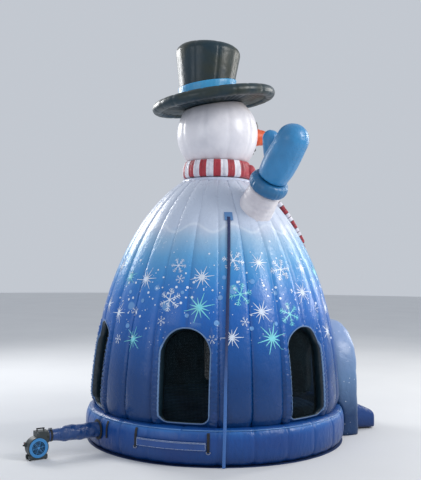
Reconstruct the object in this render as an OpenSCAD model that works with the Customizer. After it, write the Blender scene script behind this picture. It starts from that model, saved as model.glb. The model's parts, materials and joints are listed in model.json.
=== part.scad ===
// Inflatable snowman bounce dome: an air-held dome on a ring tube, with a snowman's head, hat, scarf
// and mittens on top, net windows, an entrance arch and step, and a blower that feeds it by a tube.
// Millimetres. +Z is up, the entrance faces -Y, and the origin is the middle of the base on the ground.

/* [Dome] */
// Radius of the dome wall at its foot
dome_r = 2230; // [2200:10:2260]
// Height from the foot to where the dome curve would close
dome_h = 4200; // [4150:10:4250]
// Thickness of the inflated wall at the foot
wall_t = 210; // [190:10:240]
// Thickness of the inflated wall at the top
wall_top_t = 75; // [60:5:120]
// Width angle of each window panel of the wall
bay_angle = 57; // [57:57]
// Thickness that the skins of the hollow chambers are drawn at
skin = 10; // [8:1:14]

/* [Base] */
// Outer radius of the base ring
ring_r = 2310; // [2290:10:2330]
// Radial width of the base ring
ring_w = 360; // [350:10:380]
// Height of the base ring
ring_h = 580; // [560:10:580]
// Top of the bounce floor
floor_z = 500; // [460:10:520]
// Thickness of the ground sheet
sheet_t = 3; // [2:1:5]

/* [Windows] */
// Window width
window_w = 800; // [700:10:820]
// Height of the window sill
window_z = 630; // [630:5:660]
// Height of the window arch's crown
window_top = 2070; // [1950:10:2100]
// Radius of the window's lower corners
window_corner = 120; // [60:10:160]

/* [Entrance] */
// Half width of the doorway
door_half = 430; // [380:10:440]
// Height of the doorway's crown
door_top = 1590; // [1500:10:1600]
// Distance of the arch's outer face from the dome's axis
arch_y = 2510; // [2480:10:2530]
// Half width of the arch at its springing
arch_half = 800; // [780:10:820]
// Distance of the step's outer end from the dome's axis
step_y = 3030; // [2950:10:3060]
// Half width of the step
step_half = 530; // [500:10:560]

/* [Snowman] */
// Radius of the head
head_r = 745; // [730:5:750]
// Half height of the head
head_half_h = 740; // [730:5:750]
// Height of the head's centre
head_z = 5420; // [5410:5:5430]
// Length of the nose
nose_l = 800; // [700:10:850]
// Radius of the hat brim
brim_r = 1130; // [1100:10:1160]
// Backward tilt of the hat in degrees
hat_tilt = 9.5; // [8:0.5:10]
// Outward lean of the arms in degrees
arm_lean = 42; // [40:1:44]
// Angle of each arm from the front
arm_angle = 75; // [70:1:80]

/* [Blower] */
// Direction of the inflation tube, counted from +X
tube_angle = 104; // [102:1:106]
// Distance of the blower from the dome's axis
blower_r = 3350; // [3340:10:3400]
// Radius of the tube where it leaves the base ring
tube_r = 125; // [115:5:125]
// Height of the tube's centre line
tube_z = 340; // [336:1:342]
// Radius of the blower's drum
drum_r = 165; // [165:1:168]
// Half width of the blower's drum
drum_half = 80; // [78:1:84]

/* [Hidden] */
$fn = 96;

// Gap left between pieces that touch without being one
gap = 1;
// Facets of the surfaces that large pieces are cut by
fine = 360;

// ---- dome surface ----
dome_power = 1.8;                          // bulge of the dome curve
foot_z = sheet_t + ring_h;                 // where the dome stands on the ring
neck_r = 650;                              // where the panels meet the cap
neck_z = 4600;                             // top of the dome, under the scarf
front = -90;
window_angles = [90, 147, -156, 33, -24];  // back, right rear, right front, left rear, left front
door_angle_span = 360 - 5 * bay_angle;

// Point of the dome curve at parameter a, for a curve of foot radius r and closing height h
function dome_pt(a, r, h) = [r * pow(cos(a), 2 / dome_power), foot_z + h * sin(a)];
// Parameter at which a dome curve of foot radius r comes in to radius at
function dome_end(r, at) = acos(pow(at / r, dome_power / 2));
// Parameter at which a dome curve of closing height h reaches height z
function dome_at(z, h) = asin((z - foot_z) / h);
function dome_arc(r, h, a0, a1, n) = [for (i = [0:n]) dome_pt(a0 + (a1 - a0) * i / n, r, h)];
function reversed(l) = [for (i = [len(l) - 1:-1:0]) l[i]];

// A strip of the dome's outer side between the offsets lo and hi, from height z0 to z1
function dome_strip(lo, hi, z0, z1, n) = concat(
    dome_arc(dome_r + hi, dome_h + hi, dome_at(z0, dome_h + hi), dome_at(z1, dome_h + hi), n),
    reversed(dome_arc(dome_r + lo, dome_h + lo, dome_at(z0, dome_h + lo), dome_at(z1, dome_h + lo), n)));

// Section of the wall
inner_r = dome_r - wall_t;
inner_h = dome_h - wall_top_t;
wall_section = concat(dome_arc(dome_r, dome_h, 0, dome_end(dome_r, neck_r), 12),
    reversed(dome_arc(inner_r, inner_h, 0, dome_end(inner_r, neck_r), 12)));

// Everything inside the dome's outer side, grown by g
module dome_body(g) {
    r = dome_r + g;
    h = dome_h + g;
    rotate_extrude() polygon(concat([[0, foot_z]], dome_arc(r, h, 0, dome_end(r, neck_r), 12),
        [[0, dome_pt(dome_end(r, neck_r), r, h)[1]]]));
}

// ---- base ring surface ----
ring_mid_r = ring_r - ring_w / 2;
ring_mid_z = sheet_t + ring_h / 2;
ring_power = 3;  // squareness of the ring's section
// Outer radius of the ring, grown by g, at height z
function ring_radius(z, g) = ring_mid_r + (ring_w / 2 + g)
    * pow(1 - pow(abs(z - ring_mid_z) / (ring_h / 2 + g), ring_power), 1 / ring_power);
function signed_pow(x, p) = sign(x) * pow(abs(x), p);
function ring_section(s) = [for (i = [0:31]) let (a = i * 360 / 32)
    [ring_mid_r + (ring_w / 2 + s) * signed_pow(cos(a), 2 / ring_power),
     ring_mid_z + (ring_h / 2 + s) * signed_pow(sin(a), 2 / ring_power)]];
// A strip of the ring's outer side between the offsets lo and hi, from height z0 to z1
function ring_strip(lo, hi, z0, z1, n) = concat(
    [for (i = [0:n]) let (z = z0 + (z1 - z0) * i / n) [ring_radius(z, lo) + hi - lo, z]],
    [for (i = [n:-1:0]) let (z = z0 + (z1 - z0) * i / n) [ring_radius(z, lo), z]]);

module ring_body(g) rotate_extrude() polygon(ring_section(g));

module strip_between(from, to, section) rotate([0, 0, from])
    rotate_extrude(angle = to - from) polygon(section);

// ---- windows and doorway ----
window_spring = window_top - window_w / 2;

module window_outline(g) {
    translate([0, window_spring]) circle(r = window_w / 2 + g);
    translate([-window_w / 2 - g, window_z + window_corner])
        square([window_w + 2 * g, window_spring - window_z - window_corner]);
    translate([-window_w / 2 + window_corner, window_z - g])
        square([window_w - 2 * window_corner, window_corner + 2 * g]);
    for (s = [-1, 1]) translate([s * (window_w / 2 - window_corner), window_z + window_corner])
        circle(r = window_corner + g);
}

// A window's outline carried outwards through the wall, in the direction +X
module window_prism(g) translate([1500, 0, 0]) rotate([90, 0, 90]) linear_extrude(1000) window_outline(g);

module door_prism(low) translate([1500, 0, 0]) rotate([90, 0, 90]) linear_extrude(1500) {
    translate([0, door_top - door_half]) circle(r = door_half);
    translate([-door_half, low]) square([2 * door_half, door_top - door_half - low]);
}

// One panel of the wall, drawn filled, less its opening
module wall_panel(mid, span) rotate([0, 0, mid]) difference() {
    strip_between(-span / 2, span / 2, wall_section);
    children();
}

module window_panel(i) color("royalblue") wall_panel(window_angles[i], bay_angle) window_prism(0);

module window_net(i) color("darkslategray") rotate([0, 0, window_angles[i]]) intersection() {
    strip_between(-15, 15, dome_strip(-24, -20, foot_z + 20, window_top + 30, 8), $fn = fine);
    window_prism(-gap);
}

// ---- base ----
module ground_sheet() color("dimgray") cylinder(r = ring_mid_r + 150, h = sheet_t);

// The ring, drawn filled, with the pocket that the inflation tube is sewn into
tube_start = ring_r - 70;

module base_ring() color("mediumblue") difference() {
    ring_body(0);
    tube_place(tube_start - gap) cylinder(r = tube_r + gap, h = 200);
}

module bounce_floor() color("steelblue") difference() {
    translate([0, 0, sheet_t]) cylinder(r = ring_mid_r - ring_w / 2 - gap, h = floor_z - sheet_t);
    translate([0, 0, sheet_t + skin]) cylinder(r = ring_mid_r - ring_w / 2 - gap - skin,
        h = floor_z - sheet_t - 2 * skin);
}

module dome_front() color("royalblue") wall_panel(front, door_angle_span) door_prism(foot_z - 50);

module dome_cap() color("lavender") difference() {
    cap_low = dome_pt(dome_end(inner_r, neck_r), inner_r, inner_h)[1];
    cap_high = dome_pt(dome_end(dome_r, neck_r), dome_r, dome_h)[1];
    rotate_extrude() polygon([[0, cap_low + 60], [neck_r - gap - 120, cap_low + 60], [neck_r - gap, cap_low],
        [neck_r - gap, cap_high], [neck_r - 30, neck_z], [0, neck_z]]);
    rotate_extrude() polygon([[0, cap_low + 60 + skin], [neck_r - 130, cap_low + 60 + skin],
        [neck_r - 2 * skin, cap_low + 30], [neck_r - 2 * skin, cap_high - skin],
        [neck_r - 60, neck_z - skin], [0, neck_z - skin]]);
}

module window_trims() color("aliceblue") for (a = window_angles) rotate([0, 0, a]) difference() {
    intersection() {
        strip_between(-15, 15, dome_strip(gap, 7, foot_z + 2, window_top + 60, 8));
        window_prism(30);
    }
    window_prism(0);
}

// ---- entrance ----
arch_spring = 2030 - arch_half;

// Keeps what stands outside the dome and the ring; below the ring's widest level the cut is upright
module outside_dome(s) difference() {
    children();
    dome_body(s + 3 * gap);
    ring_body(s + gap);
    translate([0, 0, -1]) cylinder(r = ring_r + s + gap, h = ring_mid_z + 1);
    cylinder(r = ring_mid_r, h = foot_z + gap);
}

module porch_arch() color("cornflowerblue") rotate([0, 0, front]) difference() {
    outside_dome(0, $fn = fine) translate([1950, 0, 0]) rotate([90, 0, 90]) linear_extrude(arch_y - 1950) {
        translate([0, arch_spring]) circle(r = arch_half);
        polygon([[-arch_half - 80, 0], [arch_half + 80, 0], [arch_half, arch_spring],
            [-arch_half, arch_spring]]);
    }
    door_prism(-50);
}

step_back_z = 560;
step_front_z = 330;

module step_block(s) rotate([0, 0, front]) outside_dome(s, $fn = fine) union() {
    rotate([90, 0, 0]) translate([0, 0, -step_half + s]) linear_extrude(2 * step_half - 2 * s)
        polygon([[arch_y + gap + s, s], [step_y - s, s], [step_y - s, step_front_z - s],
            [arch_y + gap + s, step_back_z - s]]);
    translate([ring_mid_r, -door_half + gap + s, s])
        cube([arch_y + 2 * gap + 2 * s - ring_mid_r, 2 * (door_half - gap - s), step_back_z - 2 * s]);
}

module entrance_step() color("royalblue") difference() {
    step_block(0);
    step_block(skin);
}

// ---- head ----
neck_stub_r = 520;
head_start = -acos(neck_stub_r / head_r);
hat_z = 6035;  // middle of the brim
hat_back = 80;
brim_half = 100;

module head_body(g) rotate_extrude() polygon(concat(
    [[0, neck_z - 2 * g + gap], [neck_stub_r + g, neck_z - 2 * g + gap]],
    [for (i = [0:16]) let (a = head_start + (78 - head_start) * i / 16)
        [(head_r + g) * cos(a), head_z + (head_half_h + g) * sin(a)]],
    [[0, head_z + (head_half_h + g) * sin(78)]]));

module hat_place() translate([0, hat_back, hat_z]) rotate([-hat_tilt, 0, 0]) children();

// Keeps what lies under the brim
module under_brim(s) difference() {
    children();
    hat_place() translate([0, 0, -brim_half - gap - s]) cylinder(r = brim_r, h = 1000);
}

module head() color("aliceblue") difference() {
    under_brim(0) head_body(0);
    under_brim(skin) head_body(-skin);
}

module nose() color("orangered") difference() {
    translate([0, -head_r + 60, head_z + 10]) rotate([90, 0, 0]) rotate_extrude()
        polygon([[0, 0], [185, 0], [176, 90], [30, nose_l + 30], [18, nose_l + 52], [0, nose_l + 60]]);
    head_body(gap);
}

// A row of discs on the head: each entry is the angle from the front, the height and the radius
module head_discs(rows, depth) difference() {
    for (d = rows) rotate([0, 0, front + d[0]])
        translate([(head_r + depth) * cos(asin((d[1] - head_z) / head_half_h)) - 30, 0, d[1]])
        rotate([0, 90 - asin((d[1] - head_z) / head_half_h), 0])
        cylinder(r = d[2], h = 30 + depth / 2);
    head_body(gap);
}

module eyes() color("black") head_discs([[-19, 5610, 75], [19, 5610, 75]], 30);

module mouth_coals() color("black")
    head_discs([for (i = [-2:2]) [i * 7.5, 5090 + 18 * i * i, 36]], 30);

// ---- scarf ----
scarf_top = 4910;

module scarf_band() color("crimson") rotate_extrude() polygon([[neck_stub_r + 3, neck_z + 5],
    [618, neck_z + 5], [635, neck_z + 60], [625, neck_z + 200], [585, scarf_top], [560, scarf_top],
    [545, scarf_top - 40], [neck_stub_r + 3, scarf_top - 90]]);

module scarf_knot() color("crimson") difference() {
    union() {
        translate([0, -625, neck_z + 145]) sphere(r = 125);
        for (a = [-32, -16, 16, 32]) rotate([0, 0, a]) translate([0, -600, neck_z + 140]) sphere(r = 125);
    }
    translate([0, 0, neck_z - 100]) cylinder(r = 637, h = 500);
    dome_body(10);
}

tail_w = 270;
tail_low = 3440;

module tail_section(lo, hi, z0, z1, x0, x1) translate([x0, 0, 0]) rotate([90, 0, 90])
    linear_extrude(x1 - x0) mirror([1, 0]) polygon(dome_strip(lo, hi, z0, z1, 8));

module scarf_tail(x0) color("crimson") difference() {
    tail_section(4, 125, tail_low, 4515, x0, x0 + tail_w);
    translate([0, 0, neck_z - 300]) cylinder(r = 637, h = 800);
}

module scarf_fringe() color("white") for (x0 = [-tail_w - 5, 5], i = [0:5])
    tail_section(30, 80, tail_low - 105, tail_low - gap, x0 + 5 + i * 45, x0 + 40 + i * 45);

// ---- arms ----
arm_r = 1500;  // radius and height of the middle of the cuff
arm_z = 4400;
cuff_r = 340;
cuff_half = 125;

module arm_place(side) {
    rotate([0, 0, front]) mirror([0, side > 0 ? 0 : 1, 0]) rotate([0, 0, arm_angle])
        translate([arm_r, 0, arm_z]) rotate([0, arm_lean, 0]) children();
}

module arm(side) color("aliceblue") difference() {
    arm_place(side) rotate_extrude() polygon([[0, -760], [330, -760], [312, -480], [288, -cuff_half - gap],
        [0, -cuff_half - gap]]);
    dome_body(3 * gap, $fn = fine);
}

function cuff_section(s) = [[0, s - cuff_half], [cuff_r - 50, s - cuff_half],
    [cuff_r - 15 - s, 30 - cuff_half], [cuff_r - s, -25], [cuff_r - s, 25],
    [cuff_r - 15 - s, cuff_half - 30], [cuff_r - 50, cuff_half - s], [0, cuff_half - s]];

module cuff(side) color("royalblue") arm_place(side) difference() {
    rotate_extrude() polygon(cuff_section(0));
    rotate_extrude() polygon(cuff_section(skin));
}

mitten_ball = 268;
mitten_at = 890;  // middle of the mitten's round end, along the arm

module mitten_shape(s) {
    palm_r = mitten_ball - s;
    thumb_r = 142 - s;
    rotate_extrude() polygon(concat(
        [[0, cuff_half + gap + s], [262 - s, cuff_half + gap + s], [282 - s, 270], [288 - s, 480],
            [277 - s, 730]],
        [for (i = [0:8]) [palm_r * cos(i * 11.25), mitten_at + palm_r * sin(i * 11.25)]]));
    translate([-120, 0, 290]) rotate([0, -49, 0]) rotate_extrude() polygon(concat(
        [[0, s - 20], [132 - s, s - 20]],
        [for (i = [0:6]) [thumb_r * cos(i * 15), 470 + thumb_r * sin(i * 15)]]));
}

module mitten(side) color("royalblue") arm_place(side) difference() {
    mitten_shape(0);
    mitten_shape(skin);
}

// ---- hat ----
crown_low_r = 475;
crown_top_r = 592;
crown_low = 101;
crown_high = 1012;
crown_round = 150;  // rounding of the crown's top edge

module brim_shape(s) rotate_extrude() {
    translate([0, -brim_half + s]) square([brim_r - brim_half, 2 * (brim_half - s)]);
    translate([brim_r - brim_half, 0]) circle(r = brim_half - s);
}

module hat_brim() color("darkslategray") hat_place() difference() {
    brim_shape(0);
    brim_shape(skin);
}

crown_lean = 12;  // how far the crown stands up against the brim's slope
crown_off = 135;
crown_dip = 100;  // how far the crown's form reaches down before the brim's plane cuts it
band_h = 210;

module crown_place() translate([0, crown_off, crown_low]) rotate([crown_lean, 0, 0])
    translate([0, 0, -crown_low]) children();

// Keeps what stands above the brim's plane raised by s
module above_brim(s) difference() {
    children();
    translate([0, 0, crown_low + s - 500]) cylinder(r = brim_r, h = 500);
}

function crown_r(z) = crown_low_r
    + (crown_top_r - crown_low_r) * (z - crown_low) / (crown_high - crown_round - crown_low);

function crown_section(s) = concat([[0, crown_low - crown_dip], [crown_r(crown_low - crown_dip) - s,
        crown_low - crown_dip]],
    [for (i = [0:6])
        [crown_top_r - crown_round + (crown_round - s) * cos(i * 15),
            crown_high - crown_round + (crown_round - s) * sin(i * 15)]],
    [[0, crown_high + 15 - s]]);

module crown_form(s) above_brim(s) crown_place() rotate_extrude() polygon(crown_section(s));

module hat_crown() color("darkslategray") hat_place() difference() {
    crown_form(0);
    crown_form(skin);
}

module hat_band() color("deepskyblue") hat_place() intersection() {
    translate([0, 0, crown_low]) cylinder(r = brim_r, h = band_h);
    crown_place() rotate_extrude() polygon([for (p = [[-crown_dip, 4], [-crown_dip, 20],
            [band_h + crown_dip, 20], [band_h + crown_dip, 4]])
        [crown_r(crown_low + p[0]) + p[1], crown_low + p[0]]]);
}

// ---- inflation tube ----
spigot_r = 86;
tube_end_r = 90;
tube_end = blower_r - drum_r - 10;  // how far out the tube reaches

module tube_place(along) rotate([0, 0, tube_angle]) translate([along, 0, tube_z]) rotate([0, 90, 0]) children();

module inflation_tube() color("royalblue") {
    l = tube_end - tube_start;
    tube_place(tube_start) rotate_extrude() polygon([[tube_r - 3, 0], [tube_r, 0],
        [tube_r, l - 320], [tube_end_r + 3, l - 110], [tube_end_r + 3, l], [tube_end_r, l],
        [tube_end_r, l - 112], [tube_r - 3, l - 322]]);
}

module tube_collar() color("black") tube_place(ring_r + 3) rotate_extrude()
    polygon([[tube_r + gap, 0], [tube_r + 42, 0], [tube_r + 42, 5], [tube_r + 12, 14], [tube_r + gap, 14]]);

strap_r = tube_end_r + 3 + gap;
strap_at = tube_end - 60;
strap_w = 38;

module tube_strap() color("black") tube_place(strap_at) rotate_extrude()
    translate([strap_r, 0]) square([3, strap_w]);

// The buckle sits on top of the strap; its lever turns on a pin across the two cheeks
buckle_z = tube_z + strap_r + 3 + gap;
pin_z = 12;

module buckle_place() rotate([0, 0, tube_angle]) translate([strap_at + strap_w / 2, 0, buckle_z]) children();

module strap_buckle() color("silver") buckle_place() difference() {
    union() {
        translate([-24, -24, 0]) cube([48, 48, 3]);
        for (s = [-1, 1]) translate([s * 21.5 - 1.5, -22, 2]) cube([3, 44, 16]);
    }
    translate([0, -14, pin_z]) rotate([0, 90, 0]) cylinder(r = 3.06, h = 80, center = true);
}

module buckle_lever() color("dimgray") buckle_place() {
    translate([0, -14, pin_z]) rotate([0, 90, 0]) cylinder(r = 3, h = 50, center = true);
    translate([-18, -14, pin_z - 3]) cube([36, 50, 5]);
}

// ---- blower ----
drum_z = 185;
shell_t = 4;
intake_r = 112;
shaft_r = 8;
duct_low = 250;
duct_high = 430;

// Local frame: +X away from the dome, +Y towards the intake side, on the ground
module blower_place() rotate([0, 0, tube_angle]) translate([blower_r, 0, 0]) children();
// Turns an axis from +Z to +Y, at the height of the shaft
module on_shaft() translate([0, 0, drum_z]) rotate([-90, 0, 0]) children();

module volute(s) {
    on_shaft() cylinder(r = drum_r - s, h = 2 * (drum_half - s), center = true);
    translate([-drum_r + s, -drum_half + s, duct_low + s])
        cube([drum_r + 30 - 2 * s, 2 * (drum_half - s), duct_high - duct_low - 2 * s]);
}

module housing() difference() {
    union() {
        volute(0);
        translate([-drum_r - 50, 0, tube_z]) rotate([0, 90, 0]) cylinder(r = spigot_r, h = 60);
        for (s = [-1, 1]) translate([-150, s * 62 - 18, 14]) cube([300, 36, 60]);
        translate([drum_r - 12, -66, drum_z + 20]) cube([34, 50, 64]);
    }
    volute(shell_t);
    translate([-drum_r - 60, 0, tube_z]) rotate([0, 90, 0]) cylinder(r = spigot_r - shell_t, h = 80);
    on_shaft() cylinder(r = intake_r, h = 200);
    on_shaft() translate([0, 0, -200]) cylinder(r = 40, h = 200);
    rocker_place() cylinder(r = 11.5, h = 14, center = true);
    gland_place() translate([0, 0, -30]) cylinder(r = 10.5, h = 40);
    for (p = screw_spots) translate([p[0], 0, p[1]]) rotate([90, 0, 0])
        cylinder(r = 3, h = 200, center = true);
}

screw_spots = [[-142, 30], [142, 30], [-152, 418], [18, 418]];

module half_space(side) translate([-400, side > 0 ? 0.25 : -400.25, -10]) cube([800, 400, 600]);

module housing_half(side) blower_place() intersection() {
    housing();
    half_space(side);
}

module intake_grille() color("lightskyblue") blower_place() on_shaft() translate([0, 0, drum_half + gap]) {
    difference() {
        cylinder(r = 150, h = 8);
        translate([0, 0, -1]) cylinder(r = 104, h = 10);
    }
    for (r = [88, 66, 44]) difference() {
        cylinder(r = r, h = 5);
        translate([0, 0, -1]) cylinder(r = r - 5, h = 7);
    }
    cylinder(r = 22, h = 7);
    for (i = [0:2]) rotate([0, 0, i * 60 + 10]) translate([-110, -3, 1]) cube([220, 6, 3]);
}

module impeller() color("gray") blower_place() on_shaft() {
    translate([0, 0, -118]) cylinder(r = shaft_r, h = 140);
    translate([0, 0, -58]) cylinder(r = 24, h = 60);
    translate([0, 0, -60]) cylinder(r = 132, h = 3);
    translate([0, 0, 48]) difference() {
        cylinder(r = 132, h = 3);
        translate([0, 0, -1]) cylinder(r = 104, h = 5);
    }
    for (i = [0:23]) rotate([0, 0, i * 15]) translate([106, -1, -58]) rotate([0, 0, 25]) cube([24, 2, 108]);
}

module blower_motor() color("dimgray") blower_place() on_shaft() difference() {
    union() {
        translate([0, 0, -150]) cylinder(r = 70, h = 150 - drum_half - gap);
        translate([0, 0, -drum_half - 2]) cylinder(r = 38, h = 12);
    }
    translate([0, 0, -120]) cylinder(r = shaft_r + 0.06, h = 80);
}

handle_z = 468;

module blower_handle() color("black") blower_place() {
    translate([-120, 0, handle_z]) rotate([0, 90, 0]) cylinder(r = 11, h = 130);
    for (x = [-110, 0]) translate([x, 0, duct_high + gap]) cylinder(r = 10, h = handle_z - duct_high);
}

module blower_feet() color("black") blower_place() for (x = [-125, 125], y = [-62, 62])
    translate([x, y, 0]) cylinder(r = 16, h = 13);

module housing_screws() color("silver") blower_place() for (p = screw_spots)
    translate([p[0], drum_half + gap, p[1]]) rotate([90, 0, 0]) {
        cylinder(r = 2.8, h = 60);
        translate([0, 0, -4]) cylinder(r = 5.5, h = 4);
    }

// The rocker is a barrel in a round pocket at the motor side's outer end
rocker_x = drum_r + 14;
rocker_tilt = 12;
module rocker_place() translate([rocker_x, -40, drum_z + 68]) rotate([90, 0, 0]) children();

module switch_rocker() color("red") blower_place() rocker_place() {
    cylinder(r = 11, h = 12, center = true);
    rotate([0, 0, rocker_tilt]) translate([10, -1.5, -5]) cube([4, 3, 10]);
}

module gland_place() translate([drum_r + 22 + gap, -42, drum_z + 38]) rotate([0, 90, 0]) children();

module cable_gland() color("black") blower_place() gland_place() difference() {
    union() {
        cylinder(r = 14, h = 8, $fn = 6);
        translate([0, 0, -12]) cylinder(r = 10, h = 14);
        translate([0, 0, 8]) cylinder(r = 10, h = 14);
    }
    translate([0, 0, 2]) cylinder(r = 4.5, h = 30);
}

// ---- deflation zip ----
flap_from = 128.8;
flap_to = 156.8;
zip_z = 315;

module zip_tape() color("black")
    strip_between(flap_from + 0.2, flap_to - 0.2, ring_strip(gap, 4, zip_z - 28, zip_z + 28, 4));

module zip_slider() color("goldenrod") strip_between(flap_from + 0.6, flap_from + 1.6,
    [[ring_r + 5, zip_z - 11], [ring_r + 15, zip_z - 11], [ring_r + 15, zip_z + 11], [ring_r + 5, zip_z + 11]]);

module pull_place() rotate([0, 0, flap_from + 1.1]) translate([ring_r + 15.4, 0, zip_z]) children();

module zip_pull() color("goldenrod") pull_place() rotate([0, 90, 0]) {
    cylinder(r = 6, h = 2.5);
    translate([0, -4.5, 0]) cube([38, 9, 2.5]);
}

module zip_flap() color("mediumblue") strip_between(flap_from, flap_to, ring_strip(24, 30, 262, 392, 6));

// ---- anchors ----
tab_angle = 1.1;
tab_spots = [127.4, 157.1, 110.6];  // starts of the anchor tabs round the ring
loop_z = 242;
loop_out = 14;

module ring_loop_place(i) rotate([0, 0, tab_spots[i] + tab_angle / 2])
    translate([ring_radius(loop_z, 0) + loop_out, 0, loop_z]) rotate([90, 0, 0]) children();

module anchor_tabs() color("black") for (i = [0:2]) {
    strip_between(tab_spots[i], tab_spots[i] + tab_angle, ring_strip(2, 6, loop_z + 11, 520, 8));
    if (i < 2) difference() {
        union() {
            ring_loop_place(i) cylinder(r = 8, h = 44, center = true);
            strip_between(tab_spots[i], tab_spots[i] + tab_angle, [[ring_r + 2, loop_z + 2],
                [ring_r + 14, loop_z + 2], [ring_r + 10, loop_z + 12], [ring_r + 2, loop_z + 12]]);
        }
        ring_loop_place(i) cylinder(r = 4.6, h = 60, center = true);
    }
}

module anchor_ring(i) color("silver") ring_loop_place(i) {
    cylinder(r = 4, h = 60, center = true);
    translate([0, 0, -30]) sphere(r = 4, $fn = 32);
    translate([0, 0, 30]) sphere(r = 4, $fn = 32);
    rotate([0, 90, 0]) mirror([0, 1, 0]) rotate_extrude(angle = 180) translate([30, 0]) circle(r = 4);
}

patch_z = 3860;
patch_angle = 168.5;

module tether_patch() color("royalblue") strip_between(patch_angle - 3, patch_angle + 3,
    dome_strip(2, 8, patch_z - 70, patch_z + 70, 3));

// Route of the tether: direction, radius and height of each point
tether_route = [[168.5, 1345, 3850], [168, 1445, 3700], [167.4, 1565, 3500], [166.8, 1690, 3250],
    [166.3, 1800, 3000], [165.7, 1910, 2700], [165.25, 2005, 2400], [164.9, 2080, 2100],
    [164.6, 2140, 1800], [164.3, 2185, 1500], [164.1, 2222, 1200], [164, 2250, 950],
    [163.9, 2280, 750], [163.8, 2308, 600], [163.7, 2326, 450], [163.6, 2330, 300],
    [163.5, 2330, 150], [163.5, 2330, 8]];
tether_w = 50;
tether_t = 5;

function round_point(p) = [p[1] * cos(p[0]), p[1] * sin(p[0]), p[2]];
function unit(v) = v / norm(v);
tether_points = [for (p = tether_route) round_point(p)];
tether_last = len(tether_points) - 1;
tether_ring = [for (i = [0:7]) [tether_w / 2 * signed_pow(cos(22.5 + i * 45), 0.6),
    tether_t / 2 * signed_pow(sin(22.5 + i * 45), 0.6)]];
function tether_along(i) = unit(tether_points[min(i + 1, tether_last)] - tether_points[max(i - 1, 0)]);
function tether_side(i) = unit(cross(tether_along(i), [cos(tether_route[i][0]), sin(tether_route[i][0]), 0]));
function tether_out(i) = cross(tether_side(i), tether_along(i));

module tether_strap() color("navy") polyhedron(
    points = [for (i = [0:tether_last], q = tether_ring)
        tether_points[i] + q[0] * tether_side(i) + q[1] * tether_out(i)],
    faces = concat([[for (k = [0:7]) k]], [[for (k = [7:-1:0]) tether_last * 8 + k]],
        [for (i = [0:tether_last - 1], k = [0:7]) each [
            [i * 8 + k, (i + 1) * 8 + (k + 1) % 8, i * 8 + (k + 1) % 8],
            [i * 8 + k, (i + 1) * 8 + k, (i + 1) * 8 + (k + 1) % 8]]]));

ground_sheet();
base_ring();
bounce_floor();
dome_front();
window_panel(0);  // dome_back
window_panel(1);  // dome_right_rear
window_panel(2);  // dome_right_front
window_panel(3);  // dome_left_rear
window_panel(4);  // dome_left_front
dome_cap();
window_net(0);  // net_back
window_net(1);  // net_right_rear
window_net(2);  // net_right_front
window_net(3);  // net_left_rear
window_net(4);  // net_left_front
window_trims();
porch_arch();
entrance_step();
head();
nose();
eyes();
mouth_coals();
scarf_band();
scarf_knot();
scarf_tail(-tail_w - 5);  // scarf_tail_right
scarf_tail(5);  // scarf_tail_left
scarf_fringe();
arm(-1);  // arm_right
arm(1);  // arm_left
cuff(-1);  // cuff_right
cuff(1);  // cuff_left
mitten(-1);  // mitten_right
mitten(1);  // mitten_left
hat_brim();
hat_crown();
hat_band();
tube_collar();
inflation_tube();
tube_strap();
strap_buckle();
buckle_lever();
color("deepskyblue") housing_half(1);  // housing_intake_side
color("deepskyblue") housing_half(-1);  // housing_motor_side
intake_grille();
impeller();
blower_motor();
blower_handle();
blower_feet();
housing_screws();
switch_rocker();
cable_gland();
zip_tape();
zip_slider();
zip_pull();
zip_flap();
anchor_tabs();
anchor_ring(0);  // anchor_ring_rear
anchor_ring(1);  // anchor_ring_side
tether_patch();
tether_strap();
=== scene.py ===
"""Looks of the inflatable snowman bounce dome: a printed dome of inflated lobes on a ring, with a
snowman's head, hat, scarf and mittens on top. Metres, +Z up, the entrance faces -Y."""
import json
import math
import random

import bpy
import bmesh
from mathutils import Matrix, Vector, noise


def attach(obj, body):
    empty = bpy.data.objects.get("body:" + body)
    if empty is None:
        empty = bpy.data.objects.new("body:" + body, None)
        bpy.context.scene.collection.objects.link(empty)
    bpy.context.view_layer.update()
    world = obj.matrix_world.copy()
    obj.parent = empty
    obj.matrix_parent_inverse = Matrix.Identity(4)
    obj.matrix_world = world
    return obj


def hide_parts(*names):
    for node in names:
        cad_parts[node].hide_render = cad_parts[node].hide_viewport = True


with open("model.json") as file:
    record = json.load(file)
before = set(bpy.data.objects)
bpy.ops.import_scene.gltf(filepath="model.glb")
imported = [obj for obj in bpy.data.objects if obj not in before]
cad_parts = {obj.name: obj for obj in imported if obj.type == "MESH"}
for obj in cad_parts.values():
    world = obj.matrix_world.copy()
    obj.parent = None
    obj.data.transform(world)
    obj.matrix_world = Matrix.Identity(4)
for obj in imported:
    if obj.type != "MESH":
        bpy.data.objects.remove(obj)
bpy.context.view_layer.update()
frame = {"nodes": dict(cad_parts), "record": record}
RNG = random.Random(7)
sin, cos, pi, rad = math.sin, math.cos, math.pi, math.radians


def clamp(x, lo=0.0, hi=1.0):
    return max(lo, min(hi, x))


def lerp(a, b, t):
    return a + (b - a) * t


def smooth(t):
    t = clamp(t)
    return t * t * (3 - 2 * t)


def spow(x, power):
    """A power of x's size that keeps its sign."""
    return math.copysign(abs(x) ** power, x)


def across(x):
    """Where x lies across its unit step, from -1 to 1."""
    return 2 * (x % 1) - 1


def polar(angle, r, z):
    """The point at a direction in degrees, a radius and a height."""
    return Vector((r * cos(rad(angle)), r * sin(rad(angle)), z))


def circle(r, z, count):
    """Points evenly round the Z axis."""
    return [Vector((r * cos(2 * pi * i / count), r * sin(2 * pi * i / count), z)) for i in range(count)]


def quarter(r0, z0, radius, steps, last):
    """The first points, without the very first, of a quarter round in a profile of (r, z)."""
    return [(r0 + radius * cos(t), z0 + radius * sin(t))
            for t in (pi / 2 * k / steps for k in range(1, last))]


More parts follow.
